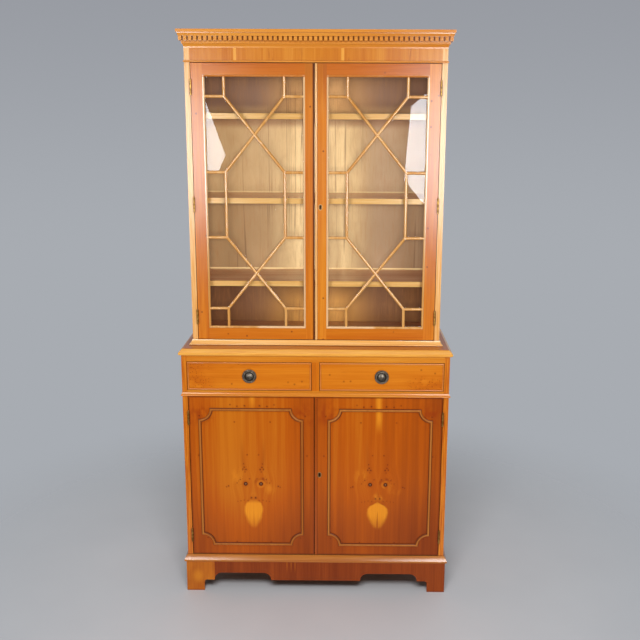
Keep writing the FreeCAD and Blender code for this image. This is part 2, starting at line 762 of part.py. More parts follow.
rails = [rail((glazed_bottom, pane_z[0])), rail((pane_z[1], glazed_top))]
meeting_stile = block((glazed_meeting, pane_x[0]), door_y, (glazed_bottom, glazed_top)).cut(rails)
hinge_stile = block((pane_x[1], glazed_outer), door_y, (glazed_bottom, glazed_top)).cut(rails)
glass_front = upper_front + glass_setback
pane = block(pane_x, (glass_front, glass_front + glass_thickness), pane_z)

sight_front = upper_front + sight_moulding_setback
sight_round_start = (sight_moulding_flat, sight_front)
sight_round_end = (sight_moulding_width, glass_front - sight_moulding_edge)
sight_profile = [
    (0, sight_front),
    sight_round_start,
    (along(sight_round_start, sight_round_end, sight_round_shares), sight_round_end),
    (sight_moulding_width, glass_front),
    (0, glass_front),
]
sight_strips = framing(pane_x, pane_z, sight_moulding_width, sight_profile)
sight_x = (pane_x[0] + sight_moulding_width, pane_x[1] - sight_moulding_width)
sight_z = (pane_z[0] + sight_moulding_width, pane_z[1] - sight_moulding_width)


def astragal(start, end):
    """A rounded glazing bar between two places on the glass, its front towards the room."""
    first, last = FreeCAD.Vector(start[0], 0, start[1]), FreeCAD.Vector(end[0], 0, end[1])
    way = (last - first).normalize()
    across = way.cross(y_axis)
    half = astragal_width / 2
    front, shoulder = upper_front + astragal_setback, glass_front - astragal_edge
    steps = [(-half, glass_front), (-half, shoulder), ((0, front), (half, shoulder)), (half, glass_front)]
    return prism(steps, lambda w, y: first + across * w + y_axis * y, last - first)


def share_of(bounds, share):
    return bounds[0] + (bounds[1] - bounds[0]) * share


lattice_x = [share_of(sight_x, lattice_side_share), share_of(sight_x, 1 - lattice_side_share)]
lattice_z = [share_of(sight_z, share) for share in (lattice_end_share, lattice_middle_share,
                                                    1 - lattice_middle_share, 1 - lattice_end_share)]
lap = astragal_width / 2
bars = []
for x, rim_x, lean in zip(lattice_x, sight_x, (-1, 1)):
    other = lattice_x[0] + lattice_x[1] - x
    bars.append(astragal((x, sight_z[0] - sight_moulding_edge), (x, lattice_z[0] + lap)))
    bars.append(astragal((x, lattice_z[1] - lap), (x, lattice_z[2] + lap)))
    bars.append(astragal((x, lattice_z[3] - lap), (x, sight_z[1] + sight_moulding_edge)))
    for z in lattice_z:
        bars.append(astragal((rim_x + lean * sight_moulding_edge, z), (x - lean * lap, z)))
    for low, high in ((lattice_z[0], lattice_z[1]), (lattice_z[2], lattice_z[3])):
        bars.append(astragal((x, low), (other, high)))
lattice = sight_strips[0].fuse(sight_strips[1:] + bars, astragal_fuse_tolerance).removeSplitter().Solids[0]

glazed_case, glazed_plate, glazed_bolt, glazed_waste, glazed_strike = lock_parts(
    glazed_meeting, upper_front, glazed_key, closing_bead_width)


def closing_bead(edge, width, front, proud, rounding, z_range, waste):
    """A strip on the right door's meeting edge, rounded in front."""
    strip = block((edge - width, edge), (front - proud, front + door_thickness), z_range)
    front_edges = [e for e in strip.Edges if e.BoundBox.YMax < front and e.BoundBox.ZLength > door_thickness]
    return strip.makeFillet(rounding, front_edges).cut(waste).Solids[0]


save("right_glazed_stiles", meeting_stile.cut(glazed_waste).Solids[0], hinge_stile.Solids[0])
save("left_glazed_stiles", mirrored(meeting_stile).cut(glazed_strike).Solids[0],
     mirrored(hinge_stile.Solids[0]))
save("right_glazed_closing_bead",
     closing_bead(glazed_meeting, closing_bead_width, upper_front, closing_bead_proud, closing_bead_round,
                  (glazed_bottom, glazed_top), glazed_waste))
save("glazed_lock", glazed_case, glazed_plate)
save("glazed_lock_bolt", glazed_bolt)
save("right_glazed_rails", *rails)
save("left_glazed_rails", *[mirrored(piece) for piece in rails])
save("right_glazed_pane", pane)
save("left_glazed_pane", mirrored(pane))
save("right_glazed_astragals", lattice)
save("left_glazed_astragals", mirrored(lattice))

# Cupboard doors, modelled as the right-hand one and mirrored
cupboard_outer = base_inside - door_gap
cupboard_meeting = cupboard_bead_width / 2 + door_gap / 2
cupboard_key = cupboard_bottom + (cupboard_top - cupboard_bottom) * cupboard_key_share
cupboard_door = block((cupboard_meeting, cupboard_outer), (base_front, base_front + door_thickness),
                      (cupboard_bottom, cupboard_top))
cupboard_case, cupboard_plate, cupboard_bolt, cupboard_waste, cupboard_strike = lock_parts(
    cupboard_meeting, base_front, cupboard_key, cupboard_bead_width)
save("right_cupboard_panel", cupboard_door.cut(cupboard_waste).Solids[0])
save("left_cupboard_panel", mirrored(cupboard_door).cut(cupboard_strike).Solids[0])
save("right_cupboard_closing_bead",
     closing_bead(cupboard_meeting, cupboard_bead_width, base_front, cupboard_bead_proud, cupboard_bead_round,
                  (cupboard_bottom, cupboard_top), cupboard_waste))
save("cupboard_lock", cupboard_case, cupboard_plate)
save("cupboard_lock_bolt", cupboard_bolt)

panel_x = (cupboard_meeting + panel_meeting_margin, cupboard_outer - panel_outer_margin)
panel_z = (cupboard_bottom + panel_bottom_margin, cupboard_top - panel_top_margin)


def hollow_cornered(inset, height):
    """Rectangle with hollow corners: inset from the moulding's outer edge, height out from the door."""
    half = panel_moulding_width / 2
    radius = panel_corner_radius - half + inset
    off = inset - half
    reach = math.sqrt(radius * radius - off * off)
    slant = radius * math.sqrt(0.5)
    steps = []
    for x_end, z_end in ((0, 0), (1, 0), (1, 1), (0, 1)):
        x_in, z_in = 1 - 2 * x_end, 1 - 2 * z_end
        centre = (panel_x[x_end] + x_in * half, panel_z[z_end] + z_in * half)
        flat_end = (centre[0] + x_in * reach, centre[1] + z_in * off)
        upright_end = (centre[0] + x_in * off, centre[1] + z_in * reach)
        middle = (centre[0] + x_in * slant, centre[1] + z_in * slant)
        first, last = (upright_end, flat_end) if x_end == z_end else (flat_end, upright_end)
        steps += [first, (middle, last)]
    return outline(steps, lambda x, z: FreeCAD.Vector(x, base_front - height, z))


def rounded_slab(start, way):
    """The solid inside one edge of the panel moulding, rounded towards its front."""
    levels = [hollow_cornered(start + way * panel_moulding_width * inset, panel_moulding_proud * level)
              for level, inset in zip(panel_level_shares, panel_inset_shares)]
    return Part.makeLoft(levels, True, True)


panel_moulding = rounded_slab(0, 1).cut(rounded_slab(panel_moulding_width, -1)).Solids[0]
save("right_cupboard_moulding", panel_moulding)
save("left_cupboard_moulding", mirrored(panel_moulding))

# Drawers, modelled as the right-hand one and mirrored
drawer_x = (half_divider + drawer_gap, base_inside - drawer_gap)
drawer_z = (drawer_floor + drawer_gap, drawer_ceiling - drawer_gap)
front_back_face = base_front + drawer_front_thickness
field_x = (drawer_x[0] + cock_bead_width, drawer_x[1] - cock_bead_width)
field_z = (drawer_z[0] + cock_bead_width, drawer_z[1] - cock_bead_width)
bead_seat = base_front + cock_bead_seat
bead_front = base_front - cock_bead_proud
drawer_front = block(drawer_x, (bead_seat, front_back_face), drawer_z)
drawer_front = drawer_front.fuse(block(field_x, (base_front, bead_seat), field_z)).removeSplitter().Solids[0]
bead_profile = [
    (0, bead_seat),
    (0, base_front - cock_bead_edge),
    ((cock_bead_width / 2, bead_front), (cock_bead_width, base_front - cock_bead_edge)),
    (cock_bead_width, bead_seat),
]
cock_beads = framing(drawer_x, drawer_z, cock_bead_width, bead_profile)

box_back = back_inner - drawer_back_space
box_z = (drawer_floor + drawer_running_gap, drawer_z[1] - drawer_side_drop)
box_inner_x = (drawer_x[0] + drawer_side_thickness, drawer_x[1] - drawer_side_thickness)
bottom_low = box_z[0] + drawer_bottom_rise
bottom_z = (bottom_low, bottom_low + drawer_bottom_thickness)
drawer_bottom = block((box_inner_x[0] - drawer_groove_depth, box_inner_x[1] + drawer_groove_depth),
                      (front_back_face, box_back), bottom_z)
drawer_sides = [block((outer, inner), (front_back_face, box_back), box_z).cut(drawer_bottom).Solids[0]
                for outer, inner in zip(drawer_x, box_inner_x)]
drawer_back = block(box_inner_x, (box_back - drawer_side_thickness, box_back), (bottom_z[1], box_z[1]))
drawer_box = [*drawer_sides, drawer_back, drawer_bottom]

# Ring pull: a dished plate with a lug at its top, and a ring that hangs from the lug
pull_x = (drawer_x[0] + drawer_x[1]) / 2
pull_z = (drawer_z[0] + drawer_z[1]) / 2
rim_inner = pull_radius - pull_rim_width
dome_rise = pull_dome_height - pull_plate_thickness
sphere_radius = (pull_dome_radius ** 2 + dome_rise ** 2) / (2 * dome_rise)
dome_half_angle = math.asin(pull_dome_radius / sphere_radius) / 2
dome_edge, dome_top = (pull_dome_radius, pull_plate_thickness), (0, pull_dome_height)
dome_middle = (sphere_radius * math.sin(dome_half_angle),
               pull_dome_height - sphere_radius * (1 - math.cos(dome_half_angle)))
plate_profile = [
    (0, 0),
    (pull_radius, 0),
    (pull_radius, pull_plate_thickness),
    ((pull_radius - pull_rim_width / 2, pull_rim_height), (rim_inner, pull_plate_thickness)),
    dome_edge,
    (dome_middle, dome_top),
]
plate_outline = outline(plate_profile, lambda r, out: FreeCAD.Vector(pull_x + r, base_front - out, pull_z))
full_turn = 360
plate = Part.Face(plate_outline).revolve(FreeCAD.Vector(pull_x, base_front, pull_z), y_axis, full_turn)
ring_y = base_front - pull_plate_thickness - ring_plate_gap - ring_wire_radius
ring_centre = FreeCAD.Vector(pull_x, ring_y, pull_z)
ring_radius = rim_inner - ring_rim_gap - ring_wire_radius
half_bar = ring_bar_length / 2
bar_rise = math.sqrt(ring_radius * ring_radius - half_bar * half_bar)
bar_middle = ring_centre + z_axis * bar_rise
lug_post = block((pull_x - pull_lug_width / 2, pull_x + pull_lug_width / 2), (ring_y, base_front),
                 (bar_middle.z - pull_lug_radius, bar_middle.z + pull_lug_radius))
lug_eye = cylinder(bar_middle, pull_lug_radius, x_axis, pull_lug_width)
lug_bore = cylinder(bar_middle, ring_wire_radius + ring_bore_clearance, x_axis, pull_lug_width + 2 * overrun)
pull_plate = plate.fuse([lug_post, lug_eye]).cut(lug_bore).removeSplitter().Solids[0]

bar_angle = math.degrees(math.asin(half_bar / ring_radius))
bar_end = bar_middle + x_axis * half_bar
bar_start = bar_middle - x_axis * half_bar
tangent = FreeCAD.Rotation(y_axis, bar_angle).multVec(x_axis)
wire_section = Part.Face(Part.Wire(Part.makeCircle(ring_wire_radius, bar_end, tangent)))
ring_arc = wire_section.revolve(ring_centre, y_axis, full_turn - 2 * bar_angle)
ring_bar = Part.makeCylinder(ring_wire_radius, ring_bar_length, bar_start, x_axis)
ring_knees = [Part.makeSphere(ring_wire_radius, place) for place in (bar_start, bar_end)]
ring = ring_arc.fuse([ring_bar] + ring_knees).removeSplitter().Solids[0]

for side_name, place in (("right", lambda shape: shape), ("left", mirrored)):
    save(side_name + "_drawer_front", place(drawer_front))
    save(side_name + "_drawer_cock_bead", *[place(piece) for piece in cock_beads])
    save(side_name + "_drawer_box", *[place(piece) for piece in drawer_box])
    save(side_name + "_pull_plate", place(pull_plate))
    save(side_name + "_pull_ring", place(ring))
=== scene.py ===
# %% [markdown]
# # A yew cabinet bookcase
# A glazed bookcase stands on a base with two drawers and two cupboard doors. Its shapes and joints come ready
# made in the frame, where every board is a node at its real size. This lesson gives each board its finish, adds
# the small fittings that a cabinet maker puts in last, and sets the camera and the light.

# %% Load the frame
import functools
import math
import random

import bmesh
import bpy
from mathutils import Matrix, Vector


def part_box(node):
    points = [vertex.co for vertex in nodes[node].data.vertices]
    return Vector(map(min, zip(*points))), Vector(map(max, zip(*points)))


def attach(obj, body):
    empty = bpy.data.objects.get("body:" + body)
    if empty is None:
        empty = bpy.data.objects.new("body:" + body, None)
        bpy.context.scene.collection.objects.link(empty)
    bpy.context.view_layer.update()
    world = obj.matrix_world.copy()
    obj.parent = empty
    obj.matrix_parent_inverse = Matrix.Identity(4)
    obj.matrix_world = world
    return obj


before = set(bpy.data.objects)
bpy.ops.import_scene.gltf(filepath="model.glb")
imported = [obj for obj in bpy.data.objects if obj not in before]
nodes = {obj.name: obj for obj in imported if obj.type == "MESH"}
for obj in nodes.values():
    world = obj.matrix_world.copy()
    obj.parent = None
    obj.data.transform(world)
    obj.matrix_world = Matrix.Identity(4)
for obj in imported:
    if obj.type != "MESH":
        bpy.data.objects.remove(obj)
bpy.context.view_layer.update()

MM = 0.001

# %% [markdown]
# ## The camera
# The photograph was taken from a little above the middle, almost square on. A camera like that is found by
# matching known corners of the cabinet to their pixels. The result is a place, three small turns, a focal length
# in pixels and the pixel that the lens points at, which becomes the camera's shift.

# %% Camera
photo_side = 640
focal_pixels = 855.66
lens_pixel = (336.06, 319.58)
camera_place = Vector((0.0934, -2.9913, 1.6449))
pitch_down = 0.2223
yaw = -0.0084
roll = 0.0046

camera_data = bpy.data.cameras.new("photo_camera")
camera_data.lens = focal_pixels * camera_data.sensor_width / photo_side
camera_data.shift_x = 0.5 - lens_pixel[0] / photo_side
camera_data.shift_y = lens_pixel[1] / photo_side - 0.5
camera = bpy.data.objects.new("photo_camera", camera_data)
bpy.context.scene.collection.objects.link(camera)
level_view = Matrix.Rotation(math.pi / 2, 4, "X")
camera.matrix_world = (Matrix.Translation(camera_place) @ Matrix.Rotation(-yaw, 4, "Z")
                       @ Matrix.Rotation(-pitch_down, 4, "X") @ level_view @ Matrix.Rotation(roll, 4, "Z"))
bpy.context.scene.camera = camera
bpy.context.scene.view_settings.view_transform = "Standard"
print("lens", round(camera_data.lens, 2), "mm, shift", round(camera_data.shift_x, 4))

# %% [markdown]
# ## Numbers that become shaders
# A shader is a graph of nodes. Written by hand it is long, so one small class wraps a socket: adding or
# multiplying two wires adds a Math node, and one method adds any other node.

# %% Wires
class Wire:
    """A socket of a material. Sums and products of wires add Math nodes."""

    def __init__(self, socket):
        self.socket = socket

    def node(self, kind, settings, sockets, output=0):
        """Add a node: its settings first, then the values or wires of its sockets."""
        made = self.socket.id_data.nodes.new("ShaderNode" + kind)
        for name, value in settings.items():
            if name == "stops":
                set_stops(made.color_ramp, value)
            else:
                setattr(made, name, value)
        fill(made, sockets)
        return Wire(made.outputs[output])

    def twin(self, output):
        """Another output of the node that this wire comes from."""
        return Wire(self.socket.node.outputs[output])

    def math(self, operation, first, second=0.0):
        return self.node("Math", {"operation": operation}, {0: first, 1: second})

    def __add__(self, other):
        return self.math("ADD", self, other)

    def __sub__(self, other):
        return self.math("SUBTRACT", self, other)

    def __rsub__(self, other):
        return self.math("SUBTRACT", other, self)

    def __mul__(self, other):
        return self.math("MULTIPLY", self, other)

    def __truediv__(self, other):
        return self.math("DIVIDE", self, other)

    __radd__ = __add__
    __rmul__ = __mul__


def set_stops(ramp, stops):
    """Give a colour ramp its stops, each a place from 0 to 1 and a colour."""
    while len(ramp.elements) < len(stops):
        ramp.elements.new(1.0)
    for element, (place, colour) in zip(ramp.elements, stops):
        element.position = place
        element.color = colour


def fill(made, sockets):
    """Set a node's sockets, by name or number, to values or wires."""
    for name, value in sockets.items():
        if isinstance(value, Wire):
            made.id_data.links.new(value.socket, made.inputs[name])
        else:
            made.inputs[name].default_value = value


def tell(*helpers):
    """Print the names of the helpers that a cell has defined."""
    print("helpers:", ", ".join(helper.__name__ for helper in helpers))


tell(Wire, set_stops, fill)

# %% [markdown]
# ## Masks and patterns
# A mark on wood is a mask, a number from 0 to 1 over the surface, that mixes one colour into another. Most masks
# here are a distance sent through a soft step. The rest are noises, whose scale says how fine they are.

# %% Masks and patterns
def smooth(wire, low, high):
    """0 at low and 1 at high, with a soft start and end."""
    limits = {"Value": wire, "From Min": low, "From Max": high}
    return wire.node("MapRange", {"interpolation_type": "SMOOTHSTEP"}, limits)


def within(wire, limit):
    """1 below a limit and 0 above it, with an edge too narrow to see."""
    half_edge = 0.2 * MM
    return smooth(wire, limit + half_edge, limit - half_edge)


def size_of(wire):
    return wire.math("ABSOLUTE", wire)


def lesser(first, second):
    return first.math("MINIMUM", first, second)


def greater(first, second):
    return first.math("MAXIMUM", first, second)


def blend(share, first, second):
    """One colour turning into another."""
    return share.node("Mix", {"data_type": "RGBA"}, {0: share, 6: first, 7: second}, 2)


def ramp(wire, *stops):
    """Colours along a number, each at its own stop."""
    return wire.node("ValToRGB", {"stops": stops}, {"Fac": wire})


def noise(place, scale, detail=2.0, twist=0.0):
    """Soft random light and dark. The scale is about how many waves lie in a metre along X, Y and Z."""
    waves = place.node("VectorMath", {"operation": "MULTIPLY"}, {0: place, 1: scale})
    sockets = {"Vector": waves, "Scale": 1.0, "Detail": detail, "Distortion": twist}
    return place.node("TexNoise", {}, sockets)


def axes(place):
    """X, Y and Z of a place as three wires."""
    x = place.node("SeparateXYZ", {}, {0: place}, "X")
    return x, x.twin("Y"), x.twin("Z")


def joined(x, y, z):
    return x.node("CombineXYZ", {}, {0: x, 1: y, 2: z})


def length_of(way):
    return way.node("VectorMath", {"operation": "LENGTH"}, {0: way}, "Value")


tell(smooth, within, size_of, lesser, greater, blend, ramp, noise, axes, joined, length_of)

# %% [markdown]
# ## Colours and finishes
# A screen's numbers aren't amounts of light: half of 255 is only about a fifth of full light. So each colour is
# given as a screen shows it and turned into light. A finish is a new material that reads its place from Object
# coordinates, which are metres on the cabinet, so its pattern has the same size on every board.

# %% Colours and finishes
def tone(red, green, blue):
    """A colour as a screen shows it, from 0 to 255, turned into the light that a shader counts in."""
    def linear(value):
        share = value / 255
        return share / 12.92 if share <= 0.04045 else ((share + 0.055) / 1.055) ** 2.4
    return linear(red), linear(green), linear(blue), 1.0


def finish(name):
    """A new material, its shader, and the place on the cabinet in metres as a wire."""
    material = bpy.data.materials.new(name)
    material.use_nodes = True
    tree = material.node_tree
    return material, tree.nodes["Principled BSDF"], Wire(tree.nodes.new("ShaderNodeTexCoord").outputs["Object"])


def dress(material, *names):
    """Put a material on nodes of the frame."""
    for name in names:
        for slot in nodes[name].material_slots:
            slot.material = material
    print(material.name, "on", ", ".join(names))


print("half of 255 is", round(tone(127.5, 127.5, 127.5)[0], 3), "of full light")

# %% [markdown]
# ## Studio floor and room
# A pale floor fades out into a grey-blue room, so no horizon cuts across the picture. The floor is a disc whose
# alpha falls to nothing before its rim. The room is the world's colour, dark behind the camera and paler beyond the
# cabinet. Where the camera looks straight at it, it is a plain grey-blue instead.

# %% Floor
floor_radius = 2.4
floor_full = 0.6
floor_end = 1.9
bpy.ops.object.select_all(action="DESELECT")
bpy.ops.mesh.primitive_circle_add(vertices=96, radius=floor_radius, fill_type="NGON")
floor = bpy.context.object
floor.name = "studio_floor"
floor_paint, floor_shader, floor_place = finish("studio_floor")
mottle = noise(floor_place, (3, 3, 3))
fill(floor_shader, {
    "Base Color": blend(mottle, tone(200, 202, 206), tone(210, 212, 215)),
    "Roughness": 0.6,
    "Alpha": smooth(length_of(floor_place), floor_end, floor_full),
})
floor.data.materials.append(floor_paint)
print("floor", floor_radius, "m, full to", floor_full, "m")

# %% Room
room = bpy.data.worlds.new("studio_room")
room.use_nodes = True
bpy.context.scene.world = room
room_nodes = room.node_tree.nodes
direction = Wire(room_nodes.new("ShaderNodeTexCoord").outputs["Generated"])
seen = Wire(room_nodes.new("ShaderNodeLightPath").outputs["Is Camera Ray"])
y, z = axes(direction)[1:]
lighting = blend(smooth(y, -0.7, 0.8), tone(62, 60, 58), tone(178, 179, 182))
plain_wall = blend(smooth(z, -0.15, 0.2), tone(168, 172, 178), tone(151, 154, 161))
fill(room_nodes["Background"], {"Color": blend(seen, lighting, plain_wall), "Strength": 1.0})
print("room", room.name, "with", len(room_nodes), "nodes")

# %% [markdown]
# ## Studio light
# The white shapes mirrored in the glass are two eight-sided softboxes, left and right of the camera at the height
# of the glazed doors. Where their edges show in the glass gives their places, their turns and their sizes, 1.2 and
# 1.3 m across. A weak panel above lights what faces up. Two lamps light one thing each, by light linking. One stands
# high in front and lights the floor, from which the softboxes are screened off, so that it is dark under the plinth's
# arches. The other stands beside the camera and lights the back panel, which the door frames would leave in shadow.

# %% Softboxes
def area_lamp(name, place, target, size, watts, turn=0.0):
    """A lamp with a flat front, width by height, that faces a target and is turned about its own axis."""
    data = bpy.data.lights.new(name, "AREA")
    data.shape = "RECTANGLE"
    data.size, data.size_y = size
    data.energy = watts
    lamp = bpy.data.objects.new(name, data)
    facing = (Vector(target) - Vector(place)).to_track_quat("-Z", "Y").to_matrix().to_4x4()
    lamp.matrix_world = Matrix.Translation(Vector(place)) @ facing @ Matrix.Rotation(turn, 4, "Z")
    bpy.context.scene.collection.objects.link(lamp)
    return lamp


def eight_sided(data):
    """Mask the corners of a square lamp."""
    data.use_nodes = True
    lamp_nodes = data.node_tree.nodes
    u, v = axes(Wire(lamp_nodes.new("ShaderNodeNewGeometry").outputs["Parametric"]))[:2]
    reach = size_of(u - 0.5) + size_of(v - 0.5)
    fill(lamp_nodes["Emission"], {"Strength": reach.math("LESS_THAN", reach, math.sqrt(0.5))})


aim = (0.0, 0.0, 1.2)
softboxes = (
    area_lamp("left_softbox", (-1.37, -3.3, 1.456), aim, (1.2, 1.2), 72, math.radians(20.7)),
    area_lamp("right_softbox", (1.166, -3.3, 1.462), aim, (1.31, 1.26), 92, math.radians(-5.4)),
)
screened = bpy.data.collections.new("screened_from_softboxes")
screened.objects.link(floor)
screened.collection_objects[0].light_linking.link_state = "EXCLUDE"
for softbox in softboxes:
    eight_sided(softbox.data)
    softbox.light_linking.receiver_collection = screened
    print(softbox.name, "of", softbox.data.energy, "W")


# %% Other lamps
def light_only(lamp, lit):
    """Let a lamp light one object alone and show in no mirror."""
    lamp.visible_glossy = False
    alone = bpy.data.collections.new("lit_by_" + lamp.name)
    alone.objects.link(lit)
    lamp.light_linking.receiver_collection = alone


light_only(area_lamp("floor_light", (0.0, -3.2, 3.4), (0.0, 0.0, 0.0), (2.2, 1.2), 125), floor)
area_lamp("top_panel", (0.0, -1.6, 3.6), (0.0, 0.0, 1.0), (2.6, 1.6), 16)
light_only(area_lamp("back_light", (0.09, -3.2, 1.62), (0.0, 0.18, 1.4), (0.4, 0.4), 96), nodes["upper_back_panel"])
print("lamps:", len(bpy.data.lights))

# %% [markdown]
# ## Yew
# Yew is an orange-brown softwood with nearly straight grain, honey-coloured sapwood and small pin knots. Its light
# and dark come from three noises, each stretched along the grain: broad drifts of colour, growth bands, and fibres.
# Pin knots are the cells of a Voronoi pattern, most of which are left empty.

# %% Yew colours
PALE = tone(238, 190, 124)
HONEY = tone(222, 150, 58)
AMBER = tone(209, 124, 27)
ORANGE = tone(195, 104, 16)
CHESTNUT = tone(174, 82, 13)
RUSSET = tone(140, 56, 15)
UMBER = tone(100, 40, 15)
KNOT = tone(60, 23, 11)
SAPWOOD = tone(226, 143, 32)
print("red light of pale yew", round(PALE[0], 2), "and of a knot", round(KNOT[0], 2))

# %% Yew grain
# The turn that lays each axis along Z, where the grain runs
GRAIN_TURN = {"x": (0, -math.pi / 2, 0), "y": (math.pi / 2, 0, 0), "z": (0, 0, 0)}


def grain(place, run):
    """Drifts, growth bands and fibres of yew, with the grain running along one axis."""
    along = place.node("Mapping", {}, {"Vector": place, "Rotation": GRAIN_TURN[run]})
    drift = smooth(noise(along, (9, 9, 0.9), 2.0, 0.3), 0.25, 0.75)
    bands = smooth(noise(along, (70, 70, 1.6), 3.0, 0.6), 0.25, 0.75)
    fibre = smooth(noise(along, (620, 620, 9), 2.0), 0.3, 0.7)
    return drift, bands, fibre


def pin_knots(first, second, spacing, chance):
    """Small round knots scattered over a face. Chance is the share of places that hold one."""
    face = joined(first, second, 0.0)
    sockets = {"Vector": face, "Scale": 1 / spacing}
    near = face.node("TexVoronoi", {"voronoi_dimensions": "2D"}, sockets, "Distance")
    pick = near.node("SeparateColor", {}, {0: near.twin("Color")})
    return smooth(near, 0.2, 0.08) * smooth(pick, chance, chance - 0.02)


tell(grain, pin_knots)

# %% [markdown]
# ## Lacquer and plain veneer
# A satin lacquer lies over the wood, and rubbing has left it a little cloudy. Painted shade darkens the recesses,
# which Ambient Occlusion finds. Most boards then need only a plain sheet: three shades of yew, mixed by the grain,
# with a few stray pin knots.

# %% Lacquer and plain veneer
STRAY_KNOTS = 0.08
knot_spacing = 22 * MM
recess_reach = 9 * MM


def lacquer(shader, place, colour, fibre, sheen=0.17, gloss=0.5, coat=0.0):
    """Wood colour under a satin lacquer, with the fibres just felt through it and painted shade in the recesses."""
    cloudy = noise(place, (14, 14, 14), 3.0)
    # Painted shade: the colour turns towards UMBER where Ambient Occlusion finds a recess
    opening = place.node("AmbientOcclusion", {"samples": 6}, {"Distance": recess_reach}, "AO")
    fill(shader, {
        "Base Color": blend(smooth(opening, 0.92, 0.42) * 0.8, colour, UMBER),
        "Specular IOR Level": gloss,
        "Coat Weight": coat,
        "Coat Roughness": 0.1,
        "Roughness": sheen + 0.04 * fibre + 0.05 * cloudy,
        "Normal": fibre.node("Bump", {}, {"Strength": 0.1, "Distance": 0.12 * MM, "Height": fibre}),
    })


def three_shades(figure, shades):
    """A dark, a middle and a light shade along the figure of the wood."""
    return ramp(figure, *zip((0.15, 0.5, 0.85), shades))


def veneer(name, run, shades, knots=0.0):
    """A plain sheet of yew in three shades: its material, shader, place, colour and fibre."""
    material, shader, place = finish(name)
    drift, bands, fibre = grain(place, run)
    colour = three_shades(drift * 0.42 + bands * 0.36 + fibre * 0.22, shades)
    if knots:
        x, y, z = axes(place)
        colour = blend(pin_knots(x + y, z, knot_spacing, knots) * 0.7, colour, UMBER)
    return material, shader, place, colour, fibre


tell(lacquer, three_shades, veneer)

# %% [markdown]
# ## Cupboard doors
# Each door is veneered with two leaves cut one after the other and opened like a book, so the left half mirrors
# the right. Taking the distance from the seam in place of X does the same. The figure holds two ringed knots,
# clusters of pin knots, and a shield of pale sapwood below them. Light is painted into the ground: it is lighter
# beside the seam and high on the door, and the right leaf, which throws the light another way, is painted a little
# darker. The back of the door is plain. Every mark is a mask made from distances, so a small class keeps those that
# the marks share.

# %% Places on a pair of leaves
cupboard_low, cupboard_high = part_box("right_cupboard_panel")
figure_middle = (cupboard_low.x + cupboard_high.x) / 2 - 2 * MM
veneer_thickness = 1 * MM
# The ringed knot and the other marks are placed in millimetres, from the seam and from the floor
knot_x = 27
knot_z = 412
knot_radius = 6.5 * MM


class LeafPair:
    """Where a point lies on one door's pair of leaves. side is -1 for the left door and 1 for the right one."""

    def __init__(self, place, side):
        self.place = place
        self.x, self.y, self.z = axes(place)
        self.from_seam = self.x - side * figure_middle
        self.across = size_of(self.from_seam)
        self.flat = joined(self.across, 0.0, self.z)
        self.from_knot = self.away(knot_x, knot_z)
        self.left_leaf = smooth(self.from_seam, 6 * MM, -6 * MM)
        self.right_leaf = 1 - self.left_leaf
        self.ragged = self.patches((55, 55, 40), 0.34, 0.6)

    def away(self, spot_x, spot_z):
        """Distance from a spot, which lies on both leaves."""
        spot = {0: self.flat, 1: (spot_x * MM, 0.0, spot_z * MM)}
        return self.flat.node("VectorMath", {"operation": "DISTANCE"}, spot, "Value")

    def near(self, spot_x, spot_z, reach, core):
        """1 within the core of a spot, fading to 0 at its reach."""
        return smooth(self.away(spot_x, spot_z), reach * MM, core * MM)

    def patches(self, scale, low=0.4, high=0.62):
        """Ragged patches, the same size on both leaves but not mirrored."""
        return smooth(noise(self.place, scale, 4.0), low, high)


print("seam", round(figure_middle / MM), "mm from the middle of the cabinet")


# %% Ground and burrs
def parted_grain(pair, side):
    """Drifts, bands and fibres of straight grain that parts round the ringed knot."""
    parting = smooth(pair.from_knot, 70 * MM, 0.0)
    bent = pair.across + (knot_x * MM - pair.across) * parting * 0.6
    return grain(joined(bent, side * 0.3, pair.z), "z")


def ground(pair, drift, bands, fibre, tint):
    """The wood between the marks, with painted light: lightest beside the seam, high on the door and on the left leaf.
    """
    # Painted light: lighter on the left leaf, beside the seam and high on the door
    turned = smooth(pair.from_seam, 90 * MM, -60 * MM)
    painted_light = smooth(pair.across, 215 * MM, 60 * MM) * 0.18 + smooth(pair.z, 160 * MM, 450 * MM) * 0.3 + turned * 0.14
    figure = drift * 0.15 + bands * 0.19 + fibre * 0.08 + painted_light + tint
    return ramp(figure, (0.1, tone(116, 46, 13)), (0.4, tone(144, 64, 14)), (0.7, CHESTNUT),
                (0.98, tone(190, 106, 22)))


def burrs(pair, bands, colour):
    """Reddish burrs in the top corners, pale wood and flecks beside the knots, and a dark tongue above each."""
    burr = pair.near(180, 668, 62, 8) * pair.patches((45, 45, 30))
    colour = blend(burr * 0.6, colour, tone(140, 50, 14))
    pale = greater(pair.near(60, 443, 36, 4) * pair.left_leaf, pair.near(58, 396, 34, 4) * pair.right_leaf)
    colour = blend(pale * pair.patches((34, 34, 18)) * 0.55, colour, AMBER)
    flecked = greater(pair.near(34, 470, 26, 6), pair.near(46, 424, 30, 8))
    flecks = pin_knots(pair.from_seam, pair.z, 8 * MM, 0.6) * flecked
    colour = blend(flecks * 0.7, colour, tone(112, 40, 12))
    halo = smooth(size_of(pair.from_knot - 11 * MM), 7 * MM, 0.0) * pair.right_leaf * pair.ragged
    colour = blend(halo * 0.6, colour, AMBER)
    brow = smooth(size_of(pair.from_knot - 20 * MM), 9 * MM, 0.0) * smooth(pair.z, 404 * MM, 430 * MM)
    colour = blend(brow * pair.right_leaf * pair.ragged * 0.7, colour, tone(126, 46, 14))
    tongue = smooth(size_of(pair.across - 33 * MM - (pair.z - 470 * MM) * 0.06), 14 * MM, 0.0)
    tongue = tongue * smooth(pair.z, 452 * MM, 486 * MM) * smooth(pair.z, 620 * MM, 490 * MM)
    return blend(tongue * (0.2 + 0.3 * bands), colour, RUSSET)


tell(parted_grain, ground, burrs)

# %% Sapwood
shield_top = 347 * MM
shield_height = 104 * MM
